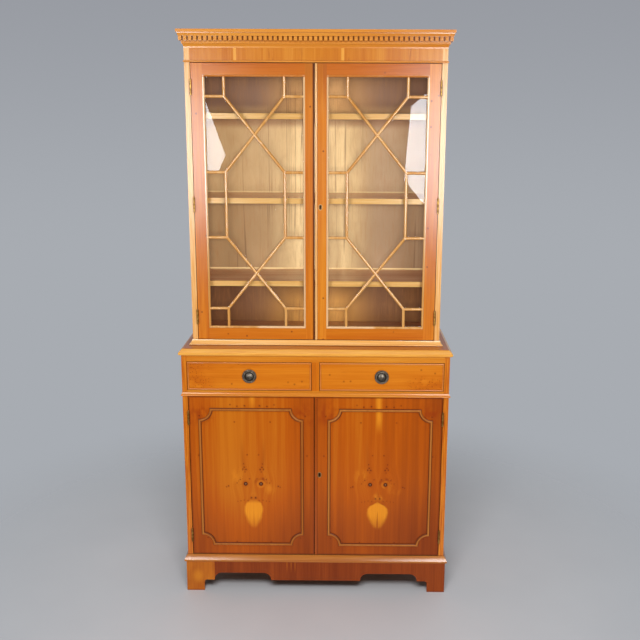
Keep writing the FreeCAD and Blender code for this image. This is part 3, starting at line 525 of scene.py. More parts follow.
# Half the shield's width at shares of the way down it, for a rounded and for a pointed top
shield_foot = ((0.38, 1.0), (0.58, 0.92), (0.78, 0.74), (0.92, 0.52), (1.0, 0.34))
round_shield = ((0.0, 0.5), (0.07, 0.82), (0.2, 0.99)) + shield_foot
pointed_shield = ((0.0, 0.14), (0.08, 0.42), (0.16, 0.76), (0.26, 0.95)) + shield_foot


def sapwood_shield(pair, fibre, colour, outline, half_width, slit, crown):
    """A pale shield, parted by a slit along the seam, with a fainter point above it."""
    down = (shield_top - pair.z) / shield_height
    half = ramp(down, *[(share, (width, width, width, 1)) for share, width in outline])
    wobble = (noise(pair.place, (60, 60, 40), 3.0) - 0.5) * (9 * MM)
    soft_edge = 10 * MM + smooth(down, 0.2, 1.0) * (10 * MM)
    inside = smooth((half * half_width - pair.across + wobble) / soft_edge, 0.0, 1.0)
    inside = inside * smooth(down, -0.08, 0.12) * smooth(down, 1.07, 0.9)
    sapwood = inside * (0.7 + 0.2 * fibre) * (1 - 0.5 * smooth(down, 0.4, 1.0))
    parted = smooth(pair.across, slit * (1.2 + 3.2 * smooth(down, 0.45, 1.0)), 0.3 * slit) * smooth(down, 0.3, 0.5)
    point = smooth(pair.across - (388 * MM - pair.z) * 0.7, 10 * MM, -10 * MM) * pair.ragged
    point = point * smooth(pair.z, 392 * MM, 374 * MM) * smooth(pair.z, 344 * MM, 368 * MM)
    return blend(greater(sapwood * (1 - 0.8 * parted), point * crown), colour, SAPWOOD)


def sapwood_streak(pair, bands, colour, half_width, end):
    """A pale streak along the seam, from the top of the door down to its end."""
    uneven = pair.across + (noise(pair.place, (50, 50, 9), 3.0) - 0.5) * (12 * MM)
    streak = smooth(uneven, half_width, 0.0) * smooth(pair.z, end - 20 * MM, end + 60 * MM)
    return blend(streak * (0.6 + 0.2 * bands), colour, SAPWOOD)


print("shield from", round(shield_top / MM), "mm down over", round(shield_height / MM), "mm")

# %% Knots
# Pin knots of one leaf: distance from the seam, height and radius in millimetres
pin_knot_places = (
    (31, 474, 2.4), (25, 466, 2.6), (36, 467, 2.2), (33, 487, 1.8), (29, 457, 1.6), (7.5, 359, 3.2),
    (20, 521, 2.0), (88, 403, 2.4), (95, 400, 1.8), (26, 701, 2.6), (52, 699, 2.2), (76, 705, 2.0),
    (62, 642, 2.0), (190, 518, 2.2), (184, 664, 2.2), (166, 205, 2.2), (62, 190, 2.0), (20, 349, 1.4),
    (33, 350, 1.4), (45, 347, 1.4), (56, 345, 1.2), (46, 428, 1.8), (13, 431, 1.8), (57, 415, 1.6),
)


def knots_of_pair(pair, colour):
    """Pin knots in a darker ground, and the ringed knot with its pale eye."""
    radii_away = [pair.away(pin_x, pin_z) / (radius * MM) for pin_x, pin_z, radius in pin_knot_places]
    nearest = functools.reduce(lesser, radii_away) + (noise(pair.place, (300, 300, 300)) - 0.5) * 1.6
    colour = blend(smooth(nearest, 3.0, 1.0) * 0.35, colour, RUSSET)
    colour = blend(smooth(nearest, 1.3, 0.4) * 0.75, colour, KNOT)
    colour = blend(smooth(pair.from_knot, knot_radius * 2.4, knot_radius) * 0.4, colour, RUSSET)
    eye = ramp(pair.from_knot / (knot_radius * 1.25), (0.0, tone(150, 108, 68)), (0.3, tone(116, 76, 44)),
               (0.55, KNOT), (0.8, UMBER))
    return blend(smooth(pair.from_knot, knot_radius * 1.2, knot_radius), colour, eye)


print("pin knots on a leaf:", len(pin_knot_places))


# %% Book-matched veneer
def book_matched(name, side, tint, shield, streak):
    """The veneer of one cupboard door: its ground, its marks, painted shade along its rim, and a plain back."""
    material, shader, place = finish(name)
    pair = LeafPair(place, side)
    drift, bands, fibre = parted_grain(pair, side)
    colour = burrs(pair, bands, ground(pair, drift, bands, fibre, tint))
    colour = sapwood_shield(pair, fibre, colour, **shield)
    colour = knots_of_pair(pair, sapwood_streak(pair, bands, colour, *streak))
    # Painted shade: the veneer darkens within 7 mm of the panel's edges, as shade from the gaps round the door
    from_rim = lesser(size_of(pair.x) - cupboard_low.x, cupboard_high.x - size_of(pair.x))
    from_rim = lesser(from_rim, lesser(pair.z - cupboard_low.z, cupboard_high.z - pair.z))
    colour = blend(smooth(from_rim, 7 * MM, 1 * MM) * 0.6, colour, UMBER)
    plain = ramp(drift * 0.5 + bands * 0.5, (0.2, CHESTNUT), (0.8, ORANGE))
    on_front = within(pair.y, cupboard_low.y + veneer_thickness)
    lacquer(shader, place, blend(on_front, plain, colour), fibre, gloss=0.22)
    return material


left_shield = {"outline": round_shield, "half_width": 37 * MM, "slit": 0.7 * MM, "crown": 0.1}
right_shield = {"outline": pointed_shield, "half_width": 42 * MM, "slit": 1.3 * MM, "crown": 0.5}
left_veneer = book_matched("left_cupboard_veneer", -1, 0.04, left_shield, (15 * MM, 690 * MM))
right_veneer = book_matched("right_cupboard_veneer", 1, -0.05, right_shield, (17 * MM, 610 * MM))
dress(left_veneer, "left_cupboard_panel")
dress(right_veneer, "right_cupboard_panel")

# %% [markdown]
# ## Drawer fronts
# The drawer fronts are cut from a plainer, brighter sheet with the grain running across. Pin knots gather in burrs
# towards one end, so the scatter of knots is let through only there.

# %% Drawer veneer
drawer_low, drawer_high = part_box("right_drawer_front")


def drawer_veneer(name, burr_x, burr_reach, high_share):
    """A drawer front with a burr of pin knots round one place along it, thinner in the upper half."""
    material, shader, place = finish(name)
    x, y, z = axes(place)
    drift, bands, fibre = grain(place, "x")
    low = smooth(z, drawer_high.z, drawer_low.z)
    on_front = within(y, drawer_low.y + veneer_thickness)
    burr = smooth(size_of(x - burr_x), burr_reach, burr_reach * 0.15)
    burr = burr * (high_share + (1 - high_share) * smooth(low, 0.3, 0.75))
    burr = burr * smooth(noise(place, (26, 26, 38), 3.0), 0.3, 0.55) * on_front
    figure = drift * 0.3 + bands * 0.24 + fibre * 0.14 + 0.28 - low * 0.1 - burr * 0.25
    colour = ramp(figure, (0.12, CHESTNUT), (0.42, ORANGE), (0.72, AMBER), (0.98, HONEY))
    curls = smooth(noise(place, (16, 16, 130), 3.0, 0.8), 0.58, 0.7) * smooth(noise(place, (9, 9, 20)), 0.45, 0.6)
    colour = blend(curls * 0.35, colour, tone(150, 66, 12))
    spots = pin_knots(x, z, 9 * MM, 0.7) * smooth(burr, 0.08, 0.4)
    strays = pin_knots(x, z, 24 * MM, 0.1) * on_front * 0.6
    colour = blend(greater(spots, strays) * 0.8, colour, tone(112, 34, 8))
    lacquer(shader, place, colour, fibre, gloss=0.35)
    return material


burr_reach = 110 * MM
dress(drawer_veneer("left_drawer_veneer", -430 * MM, burr_reach, 0.5), "left_drawer_front")
dress(drawer_veneer("right_drawer_veneer", 400 * MM, burr_reach, 0.0), "right_drawer_front")

# %% [markdown]
# ## Frames of the glazed doors
# Stiles have upright grain and rails have grain across, so each gets its own sheet. A painted shadow of the closing
# bead lies along the left door's meeting edge, and both meeting stiles are painted darker towards their tops, as
# shade.

# %% Stiles and rails
meeting_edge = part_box("left_glazed_stiles")[1].x
dark_start = 1660 * MM
dark_full = 1830 * MM
meeting_reach = 60 * MM
stile_shades = (tone(180, 90, 18), tone(200, 113, 22), tone(212, 132, 33))
stile, shader, place, colour, fibre = veneer("stile_veneer", "z", stile_shades, STRAY_KNOTS)
x, y, z = axes(place)
# Painted shade on both meeting stiles towards their tops
top_shade = smooth(z, dark_start, dark_full) * smooth(size_of(x), meeting_reach, 0.75 * meeting_reach)
colour = blend(top_shade * 0.35, colour, tone(126, 54, 16))
# Painted shadow of the closing bead along the left door's meeting edge
bead_shadow = smooth(x, meeting_edge - 8 * MM, meeting_edge - 3 * MM)
bead_shadow = bead_shadow * smooth(x, meeting_edge + 1.5 * MM, meeting_edge + 0.5 * MM)
lacquer(shader, place, blend(bead_shadow * 0.9, colour, tone(62, 20, 9)), fibre)
dress(stile, "left_glazed_stiles", "right_glazed_stiles")

rail_shades = (tone(174, 84, 12), tone(190, 101, 15), tone(202, 117, 22))
rail, shader, place, colour, fibre = veneer("rail_veneer", "x", rail_shades, STRAY_KNOTS)
lacquer(shader, place, colour, fibre)
dress(rail, "left_glazed_rails", "right_glazed_rails")

# %% [markdown]
# ## Sides and frieze
# The side boards are veneered upright, and their front edges are lipped with paler solid yew, 4 mm thick. The frieze
# is cross-banded, with short dark streaks and two pale lines of sapwood.

# %% Side boards
lip_thickness = 4 * MM


def lipped(name, front, lip_shades, names):
    """Upright veneer on a side board, with a pale lipping on its front edge."""
    material, shader, place, colour, fibre = veneer(name, "z", (CHESTNUT, ORANGE, AMBER), STRAY_KNOTS)
    lip = within(axes(place)[1], front + lip_thickness)
    lacquer(shader, place, blend(lip, colour, ramp(fibre, *zip((0.1, 0.9), lip_shades))), fibre)
    dress(material, *names)


upper_lip = (tone(218, 148, 68), tone(232, 182, 118))
lipped("upper_side_veneer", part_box("upper_left_side")[0].y, upper_lip, ("upper_left_side", "upper_right_side"))
lipped("base_side_veneer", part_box("base_left_side")[0].y, (CHESTNUT, AMBER), ("base_left_side", "base_right_side"))

# %% Frieze
sapwood_lines = (-262 * MM, 87 * MM)
sapwood_half = 6 * MM
frieze_shades = (tone(186, 104, 20), tone(197, 118, 28), tone(207, 134, 42))
frieze, shader, place, colour, fibre = veneer("frieze_banding", "z", frieze_shades)
x = axes(place)[0]
streaks = smooth(noise(place, (60, 60, 7), 3.0, 0.8), 0.6, 0.74) * smooth(noise(place, (11, 11, 3)), 0.46, 0.6)
colour = blend(streaks * 0.6, colour, tone(140, 62, 14))
from_line = lesser(size_of(x - sapwood_lines[0]), size_of(x - sapwood_lines[1]))
colour = blend(smooth(from_line, sapwood_half, sapwood_half * 0.6), colour, tone(222, 152, 58))
lacquer(shader, place, colour, fibre)
dress(frieze, "frieze_rail")

# %% [markdown]
# ## Mouldings
# The mouldings are solid yew, paler than the veneer. Each runs along the front and turns down the sides in a mitre, so
# the grain has to turn too: past the mitre line, depth takes the place of width. The base top is made in the same
# way, with a pale solid edge round its veneer.

# %% Mouldings
edge_width = 12 * MM


def moulding(name, half_width, front, shades, nosed=None):
    """Solid yew whose grain turns at the mitred front corners. A nosed board has a pale solid edge round it."""
    material, shader, place = finish(name)
    x, y, z = axes(place)
    on_side = smooth(size_of(x) - half_width + y - front, -0.1 * MM, 0.1 * MM)
    run = x + (y - x) * on_side
    out = y + (x - y) * on_side
    drift, bands, fibre = grain(joined(run, out, z), "x")
    colour = three_shades(drift * 0.4 + bands * 0.35 + fibre * 0.25, shades)
    if nosed:
        low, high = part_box(nosed)
        from_edge = lesser(high.x - size_of(x), y - low.y)
        nosing = ramp(fibre, (0.1, HONEY), (0.9, tone(236, 172, 74)))
        colour = blend(within(from_edge, edge_width), colour, nosing)
    lacquer(shader, place, colour, fibre, 0.15)
    return material


upper_low, upper_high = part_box("upper_right_side")
base_low, base_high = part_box("base_right_side")
upper_corner = (upper_high.x, upper_low.y)
base_corner = (base_high.x, base_low.y)
dress(moulding("upper_moulding", *upper_corner, (tone(200, 118, 32), tone(208, 132, 46), HONEY)),
      "cornice_mouldings", "dentil_strips")
dress(moulding("surbase_wood", *upper_corner, (HONEY, tone(228, 166, 84), PALE)), "surbase_moulding")
dress(moulding("base_moulding", *base_corner, (ORANGE, tone(202, 122, 30), tone(214, 140, 44))),
      "waist_moulding", "drawer_top_rail", "dust_board")
dress(moulding("plinth_moulding", *base_corner, (tone(152, 80, 22), tone(172, 102, 36), tone(194, 128, 56))),
      "plinth_moulding")
dress(moulding("base_top_veneer", *base_corner, (CHESTNUT, ORANGE, AMBER), "base_top"), "base_top")

# %% [markdown]
# ## Beads and divider
# The closing beads, the cock beads round the drawers and the upright between the drawers are short straight pieces.
# Each is a plain sheet in its own shades. The glazed door's bead is rubbed palest and has the most polish.

# %% Beads and divider
for name, run, shades, coat, names in (
    ("glazed_bead_wood", "z", (HONEY, tone(224, 168, 104), PALE), 0.3, ("right_glazed_closing_bead",)),
    ("cock_bead_wood", "x", (tone(186, 101, 36), tone(198, 117, 50), tone(208, 133, 66)), 0.0,
     ("left_drawer_cock_bead", "right_drawer_cock_bead")),
    ("divider_wood", "z", (CHESTNUT, ORANGE, AMBER), 0.0, ("drawer_divider",)),
    ("cupboard_bead_wood", "z", (tone(150, 66, 14), tone(164, 76, 14), CHESTNUT), 0.0,
     ("right_cupboard_closing_bead",)),
):
    material, shader, place, colour, fibre = veneer(name, run, shades)
    lacquer(shader, place, colour, fibre, 0.13, coat=coat)
    dress(material, *names)

# %% [markdown]
# ## Lattice
# The lattice bars are rubbed paler than the rails. The narrow sight edge round the glass is painted palest, as a
# highlight, except low down beside the outer stiles, and along the top it is painted orange, as shade. The outline of
# the lattice gives the distance from that edge.

# %% Lattice
sight_low, sight_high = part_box("right_glazed_astragals")
sight_width = 8 * MM
inner_reach = 210 * MM
sheen_start = 1100 * MM
sheen_full = 1400 * MM


def sight_band(from_edge):
    """1 on the sight edge and 0 on the bars."""
    return smooth(from_edge, sight_width, sight_width - 1 * MM)


bar_shades = (tone(196, 132, 58), tone(210, 152, 82), tone(222, 172, 110))
astragal, shader, place, colour, fibre = veneer("astragal_wood", "z", bar_shades)
x, y, z = axes(place)
from_edge = lesser(size_of(x) - sight_low.x, sight_high.x - size_of(x))
from_edge = lesser(from_edge, z - sight_low.z)
# Painted highlight on the sight edge, high up and away from the outer stiles
painted_sheen = greater(smooth(size_of(x), inner_reach, inner_reach - 20 * MM), smooth(z, sheen_start, sheen_full))
colour = blend(sight_band(from_edge) * painted_sheen * 0.6, colour, tone(240, 204, 160))
# Painted shade: the top sight edge is orange
colour = blend(sight_band(sight_high.z - z) * 0.7, colour, ORANGE)
lacquer(shader, place, colour, fibre, 0.13, coat=0.7)
dress(astragal, "left_glazed_astragals", "right_glazed_astragals")

# %% [markdown]
# ## Panel mouldings
# The applied moulding on the cupboard doors has painted shade down its flanks, and its crest keeps the wood's colour.
# Its outline is a rectangle with a quarter circle scooped out of each corner, so the way in from it is the least of
# three distances.

# %% Panel mouldings
scoop_radius = 40 * MM
mould_low, mould_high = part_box("right_cupboard_moulding")
mould_middle = (mould_low + mould_high) / 2
mould_half = (mould_high - mould_low) / 2
panel_shades = (tone(154, 86, 29), tone(167, 101, 40), tone(180, 116, 52))
panel_wood, shader, place, colour, fibre = veneer("panel_moulding_wood", "z", panel_shades)
x, y, z = axes(place)
in_x = mould_half.x - size_of(size_of(x) - mould_middle.x)
in_z = mould_half.z - size_of(z - mould_middle.z)
in_scoop = length_of(joined(in_x, in_z, 0.0)) - scoop_radius
way_in = lesser(lesser(in_x, in_z), in_scoop)
# Painted shade: the flanks of the moulding turn dark, and only the crest keeps the wood's colour
unshaded_crest = smooth(way_in, 0.8 * MM, 2.8 * MM) * smooth(way_in, 8.6 * MM, 6.4 * MM)
lacquer(shader, place, blend(unshaded_crest, tone(112, 52, 18), colour), fibre, 0.3, gloss=0.15)
dress(panel_wood, "left_cupboard_moulding", "right_cupboard_moulding")

# %% [markdown]
# ## Plinth
# The plinth is veneered with upright grain in a darker, redder sheet. The left foot took a paler piece, palest in its
# middle, with a clean join where the two sheets meet. Three pale streaks run down beside the centre.

# %% Plinth veneer
foot_join = -364 * MM
foot_middle = (-424 * MM, 58 * MM)
pale_streaks = (-103 * MM, -88 * MM, -74 * MM)
plinth_shades = (tone(112, 44, 13), tone(128, 54, 15), tone(144, 65, 19))
plinth, shader, place, colour, fibre = veneer("plinth_veneer", "z", plinth_shades)
x, y, z = axes(place)
patch = noise(place, (16, 16, 9), 2.0)
pale_foot = ramp(patch * 0.8 + fibre * 0.2, (0.25, tone(150, 70, 15)), (0.75, tone(188, 108, 28)))
on_front = smooth(y, base_low.y + 3 * MM, base_low.y + 2 * MM)
colour = blend(smooth(x, foot_join + 0.3 * MM, foot_join - 0.3 * MM) * on_front, colour, pale_foot)
for streak_x in pale_streaks:
    near = smooth(size_of(x - streak_x), 3 * MM, 1 * MM) * smooth(z, 60 * MM, 110 * MM)
    colour = blend(near * 0.35, colour, ORANGE)
from_foot = length_of(joined((x - foot_middle[0]) * 1.4, z - foot_middle[1], 0.0))
colour = blend(smooth(from_foot, 40 * MM, 6 * MM) * on_front * 0.6, colour, tone(206, 128, 32))
lacquer(shader, place, colour, fibre, gloss=0.25)
dress(plinth, "plinth_front", "plinth_ends_and_back")

# %% [markdown]
# ## Back panel
# The back is a sheet of pale plywood with dark upright streaks and a few fine cracks. Light and shade are painted on
# its inside: it is lightest in the middle and darker at its sides, in the spaces at the top and foot and behind the
# right meeting stile. Each shelf has a painted shadow below it and a painted highlight above it. The back's outside
# and the base panel are plain. So the colour is built up in layers: first the painted light, space by space, and
# then the figure of the wood over it.

# %% Painted light on the back
shelf_boxes = [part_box(shelf) for shelf in ("bottom_shelf", "middle_shelf", "top_shelf")]
(low_shelf, low_top), (middle_shelf, middle_top), (high_shelf, high_top) = shelf_boxes


def lit_and_shaded_ply(x, z):
    """The ply's colour before its figure, with painted light: lightest in the middle, darker in the lowest and highest
    spaces.
    """
    shaded_ply = blend(smooth(x, 110 * MM, 240 * MM), tone(182, 152, 108), tone(164, 138, 108))
    colour = blend(smooth(size_of(x), 205 * MM, 40 * MM), shaded_ply, tone(251, 220, 164))
    aside = smooth(size_of(x), 40 * MM, 250 * MM)
    below_middle = smooth(z, middle_top.z, middle_shelf.z)
    # Painted shadow of the right meeting stile
    stile_shadow = smooth(size_of(x - 55 * MM), 45 * MM, 15 * MM)
    colour = blend(stile_shadow * (0.4 + 0.35 * below_middle), colour, shaded_ply)
    # Painted shade below the middle shelf, stronger towards the sides and on the left
    painted_dimming = 0.06 + 0.2 * aside + 0.14 * smooth(x, -90 * MM, -230 * MM)
    colour = blend(below_middle * painted_dimming, colour, tone(90, 46, 16))
    lowest = blend(aside, tone(203, 144, 70), tone(96, 56, 30))
    # Painted shadow under the lowest shelf
    low_shelf_shadow = smooth(z, low_shelf.z - 125 * MM, low_shelf.z - 50 * MM)
    lowest = blend(low_shelf_shadow * 0.6, lowest, tone(84, 46, 22))
    colour = blend(smooth(z, low_top.z, low_shelf.z), colour, lowest)
    highest = blend(aside, tone(209, 156, 97), tone(112, 82, 68))
    # Painted shadow high in the top space, and a painted highlight just above the top shelf
    top_band_shadow = smooth(z, high_top.z + 50 * MM, high_top.z + 130 * MM)
    highest = blend(top_band_shadow * 0.4, highest, tone(90, 54, 32))
    highest = blend(smooth(z, high_top.z + 40 * MM, high_top.z) * 0.45, highest, tone(222, 178, 120))
    return blend(smooth(z, high_shelf.z, high_top.z), colour, highest)


def shelf_shadows_and_highlights(z, colour):
    """A painted shadow below each shelf and a painted highlight above it, clearest above the lowest."""
    for low, high in shelf_boxes:
        shelf_shadow = smooth(z, low.z - 36 * MM, low.z - 10 * MM) * smooth(z, high.z, low.z)
        colour = blend(shelf_shadow * 0.6, colour, tone(128, 84, 56))
        shelf_highlight = smooth(z, high.z + 6 * MM, high.z + 4 * MM) * smooth(z, low.z, high.z)
        colour = blend(shelf_highlight * (0.7 if low == low_shelf else 0.3), colour, tone(246, 212, 152))
    return colour


print("shelves at", [round(low.z / MM) for low, high in shelf_boxes], "mm")

# %% Back panel
back_ply, shader, place = finish("back_ply")
x, y, z = axes(place)
drift, bands, fibre = grain(place, "z")
figure = drift * 0.5 + bands * 0.3 + fibre * 0.2
streaks = smooth(noise(place, (230, 230, 13), 3.0, 0.8), 0.5, 0.74)
mottle = smooth(noise(place, (26, 26, 10), 4.0, 1.5), 0.4, 0.7)
cracks = smooth(size_of(noise(place, (26, 26, 0.22), 2.0) - 0.5), 0.012, 0.004)
cracks = cracks * smooth(noise(place, (9, 9, 3)), 0.48, 0.64)
colour = blend((1 - figure) * 0.2, lit_and_shaded_ply(x, z), tone(168, 118, 66))
colour = blend(streaks * 0.32, colour, tone(150, 100, 52))
colour = blend(mottle * 0.16, colour, tone(142, 94, 50))
colour = shelf_shadows_and_highlights(z, blend(cracks * 0.55, colour, tone(104, 66, 38)))
plain = ramp(figure, (0.15, tone(172, 132, 88)), (0.85, tone(202, 164, 116)))
plain = blend(cracks * 0.3, plain, tone(120, 84, 54))
back_low, back_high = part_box("upper_back_panel")
# The painted light lies only on the inside face of the upper back panel
upper_inner_face = smooth(y, back_high.y - 0.5 * MM, back_high.y - MM) * smooth(z, back_low.z - MM, back_low.z)
fill(shader, {"Base Color": blend(upper_inner_face, plain, colour), "Roughness": 0.55 + 0.1 * fibre})
dress(back_ply, "upper_back_panel", "base_back_panel")

# %% [markdown]
# ## Shelves and linings
# Shelves and boards are brown on top with a pale lipping in front, 5 mm thick. The drawer linings and the blocks in
# the plinth's corners are plain pale wood with no lacquer.

# %% Shelves
shelf_lip = 5 * MM


def shelf_wood(name, front, names):
    """A shelf or board with a pale lipping along its front edge."""
    material, shader, place = finish(name)
    drift, bands, fibre = grain(place, "x")
    colour = ramp(drift * 0.4 + bands * 0.4 + fibre * 0.2, (0.15, tone(204, 146, 106)), (0.85, tone(228, 178, 138)))
    lip = within(axes(place)[1], front + shelf_lip)
    pale = ramp(bands * 0.5 + fibre * 0.5, (0.15, tone(230, 168, 88)), (0.85, tone(243, 195, 122)))
    lacquer(shader, place, blend(lip, colour, pale), fibre)
    dress(material, *names)


shelf_wood("shelf_wood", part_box("top_shelf")[0].y, ("top_shelf", "middle_shelf", "bottom_shelf"))
shelf_wood("upper_board_wood", upper_low.y, ("upper_top_board", "upper_bottom_board"))
shelf_wood("base_board_wood", base_low.y, ("base_bottom_board",))
shelf_wood("cupboard_shelf_wood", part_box("cupboard_shelf")[0].y, ("cupboard_shelf",))

# %% Linings and blocks
for name, run, shades, names in (
    ("drawer_lining", "y", (tone(176, 132, 84), tone(204, 164, 112), tone(222, 186, 138)),
     ("left_drawer_box", "right_drawer_box")),
    ("corner_block_wood", "z", (tone(150, 106, 62), tone(186, 142, 92), tone(206, 166, 116)),
     ("plinth_corner_blocks",)),
):
    material, shader, place, colour, fibre = veneer(name, run, shades)
    fill(shader, {"Base Color": colour, "Roughness": 0.6 + 0.1 * fibre})
    dress(material, *names)

# %% [markdown]
# ## Glass
# A thin pane hardly bends light, so it is a clear shader with a mirror mixed in: four hundredths of the light looking
# straight in, and nearly all of it along the face. Lamps then shine through it, which a refracting glass would stop.
# The panes of an old door aren't quite in one plane: on the left door those below the second bar are turned aside by
# about three degrees, which the mirror's normal gives.

# %% Glass
second_bar = 1492 * MM
pane_turn = 0.06
straight_share = 0.04
glass = bpy.data.materials.new("window_glass")
glass.use_nodes = True
glass_tree = glass.node_tree
glass_tree.nodes.remove(glass_tree.nodes["Principled BSDF"])
slant = Wire(glass_tree.nodes.new("ShaderNodeLayerWeight").outputs["Facing"])
mirror_share = straight_share + (1 - straight_share) * slant.math("POWER", slant, 5.0)
clear = mirror_share.node("BsdfTransparent", {}, {"Color": (0.985, 0.99, 0.985, 1)})
place = Wire(glass_tree.nodes.new("ShaderNodeTexCoord").outputs["Object"])
x, y, z = axes(place)
turned = smooth(z, second_bar, second_bar - MM) * smooth(x, MM, -MM)
facing = place.node("NewGeometry", {}, {}, "Normal")
facing = facing.node("VectorMath", {"operation": "ADD"}, {0: facing, 1: joined(turned * pane_turn, 0.0, 0.0)})
facing = facing.node("VectorMath", {"operation": "NORMALIZE"}, {0: facing})
mirror = slant.node("BsdfGlossy", {}, {"Roughness": 0.0, "Color": (0.42, 0.43, 0.45, 1), "Normal": facing})
pane = mirror_share.node("MixShader", {}, {0: mirror_share, 1: clear, 2: mirror})
fill(glass_tree.nodes["Material Output"], {"Surface": pane})
dress(glass, "left_glazed_pane", "right_glazed_pane")

# %% [markdown]
# ## Metal
# The hinges and bolts are brass, a little tarnished. The keyhole plates are darker in their middles than at their
# rims, and painted shade darkens their keyholes where Ambient Occlusion finds a hollow. The pulls are darkened bronze,
# with a darker groove and bright metal where fingers rub. All share one finely scratched metal.

# %% Brass
def metal(shader, place, colour, rough):
    """Metal of one colour, finely scratched."""
    scratches = noise(place, (900, 900, 900), 2.0)
    fill(shader, {
        "Base Color": colour,
        "Metallic": 1.0,
        "Roughness": rough + 0.08 * scratches,
        "Normal": scratches.node("Bump", {}, {"Strength": 0.1, "Distance": 0.05 * MM, "Height": scratches}),
    })


brass, shader, place = finish("aged_brass")
clean = smooth(noise(place, (110, 110, 110), 4.0), 0.36, 0.66)
metal(shader, place, blend(clean, tone(136, 98, 44), tone(206, 164, 86)), 0.28 + 0.15 * (1 - clean))
dress(brass, "carcass_hinge_leaves", "left_glazed_hinge_leaves", "right_glazed_hinge_leaves",
      "left_cupboard_hinge_leaves", "right_cupboard_hinge_leaves", "glazed_lock_bolt", "cupboard_lock_bolt",
      "shelf_pegs")

# %% Keyhole plates
plate_straight = 3.5 * MM
dark_middle_reach = 5.2 * MM


def from_plate_middle(node, x, z):
    """Distance from the middle line of a keyhole plate, whose front lies furthest forward on its lock."""
    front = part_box(node)[0].y
    face = [vertex.co for vertex in nodes[node].data.vertices if vertex.co.y < front + 0.1 * MM]
    middle_x, middle_z = ((min(co[i] for co in face) + max(co[i] for co in face)) / 2 for i in (0, 2))
    return length_of(joined(x - middle_x, greater(size_of(z - middle_z) - plate_straight, 0.0), 0.0))


rubbed_brass, shader, place = finish("rubbed_brass")
x, y, z = axes(place)
clean = smooth(noise(place, (90, 90, 90), 4.0), 0.25, 0.75)
opening = place.node("AmbientOcclusion", {"samples": 6}, {"Distance": 4 * MM}, "AO")
from_middle = lesser(from_plate_middle("glazed_lock", x, z), from_plate_middle("cupboard_lock", x, z))
colour = blend(clean, tone(160, 120, 72), tone(196, 156, 104))
# Each keyhole plate is darker along its middle line
colour = blend(smooth(from_middle, dark_middle_reach, dark_middle_reach - 1 * MM) * 0.85, colour, tone(60, 38, 24))
# Painted shade in the keyhole, where Ambient Occlusion finds the hollow
metal(shader, place, blend(smooth(opening, 0.8, 0.3), colour, tone(20, 12, 8)), 0.4 + 0.1 * (1 - clean))
dress(rubbed_brass, "glazed_lock", "cupboard_lock")

# %% Bronze
pull_low, pull_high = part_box("right_pull_plate")
pull_x = (pull_low.x + pull_high.x) / 2
pull_z = (pull_low.z + pull_high.z) / 2
groove_radius = 14.5 * MM
bronze, shader, place = finish("dark_bronze")
x, y, z = axes(place)
radius = length_of(joined(size_of(x) - pull_x, z - pull_z, 0.0))
groove = smooth(size_of(radius - groove_radius), 3.2 * MM, 0.8 * MM)
rubbed = smooth(noise(place, (150, 150, 150), 3.0), 0.3, 0.7)
colour = blend(rubbed, tone(84, 76, 68), tone(132, 124, 112))
metal(shader, place, blend(groove * 0.85, colour, tone(38, 30, 26)), 0.44 + 0.15 * groove)
dress(bronze, "left_pull_plate", "right_pull_plate", "left_pull_ring", "right_pull_ring")

# %% [markdown]
# ## Glazing beads
# Behind each pane a mitred wooden bead holds the glass in its rebate. A flat frame is the pane's outline with a
# smaller outline inset in it. It is pulled out to the bead's depth, and the inner back edge is rounded by a bevel.

# %% Shaping helpers
def start_piece(name):
    """Name the primitive just added, put its place into its mesh and open it for editing."""
    piece = bpy.context.object
    piece.name = name
    piece.data.name = name
    bpy.ops.object.transform_apply(location=True, rotation=True, scale=True)
    bpy.ops.object.mode_set(mode="EDIT")
    bpy.ops.mesh.select_all(action="SELECT")
    return piece


def choose(piece, kind, test):
    """Select only the edges or faces whose points all pass a test."""
    bpy.ops.mesh.select_all(action="DESELECT")
    bpy.ops.mesh.select_mode(type=kind)
    shape = bmesh.from_edit_mesh(piece.data)
    for element in shape.edges if kind == "EDGE" else shape.faces:
        element.select = all(test(corner.co) for corner in element.verts)
    bmesh.update_edit_mesh(piece.data)


def close_piece(piece, material):
    """Point the faces outwards, leave edit mode, smooth the round faces and give the piece its finish."""
    bpy.ops.mesh.select_all(action="SELECT")
    bpy.ops.mesh.normals_make_consistent(inside=False)
    bpy.ops.object.mode_set(mode="OBJECT")
    bpy.ops.object.shade_smooth_by_angle(angle=math.radians(35))
    piece.data.materials.clear()
    piece.data.materials.append(material)


def hang_on(piece, body, slot):
    """Let a piece move with a body. The slot is not used."""
    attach(piece, body)
    print(piece.name, "on", body, "with", len(piece.data.polygons), "faces")


tell(start_piece, choose, close_piece, hang_on)

# %% Glazing beads
bead_width = 6 * MM
bead_depth = 5.8 * MM
bead_round = 4.5 * MM
rebate_gap = 0.1 * MM
bead_wood, shader, place, colour, fibre = veneer("glazing_bead_wood", "z", (ORANGE, AMBER, HONEY))
lacquer(shader, place, colour, fibre)

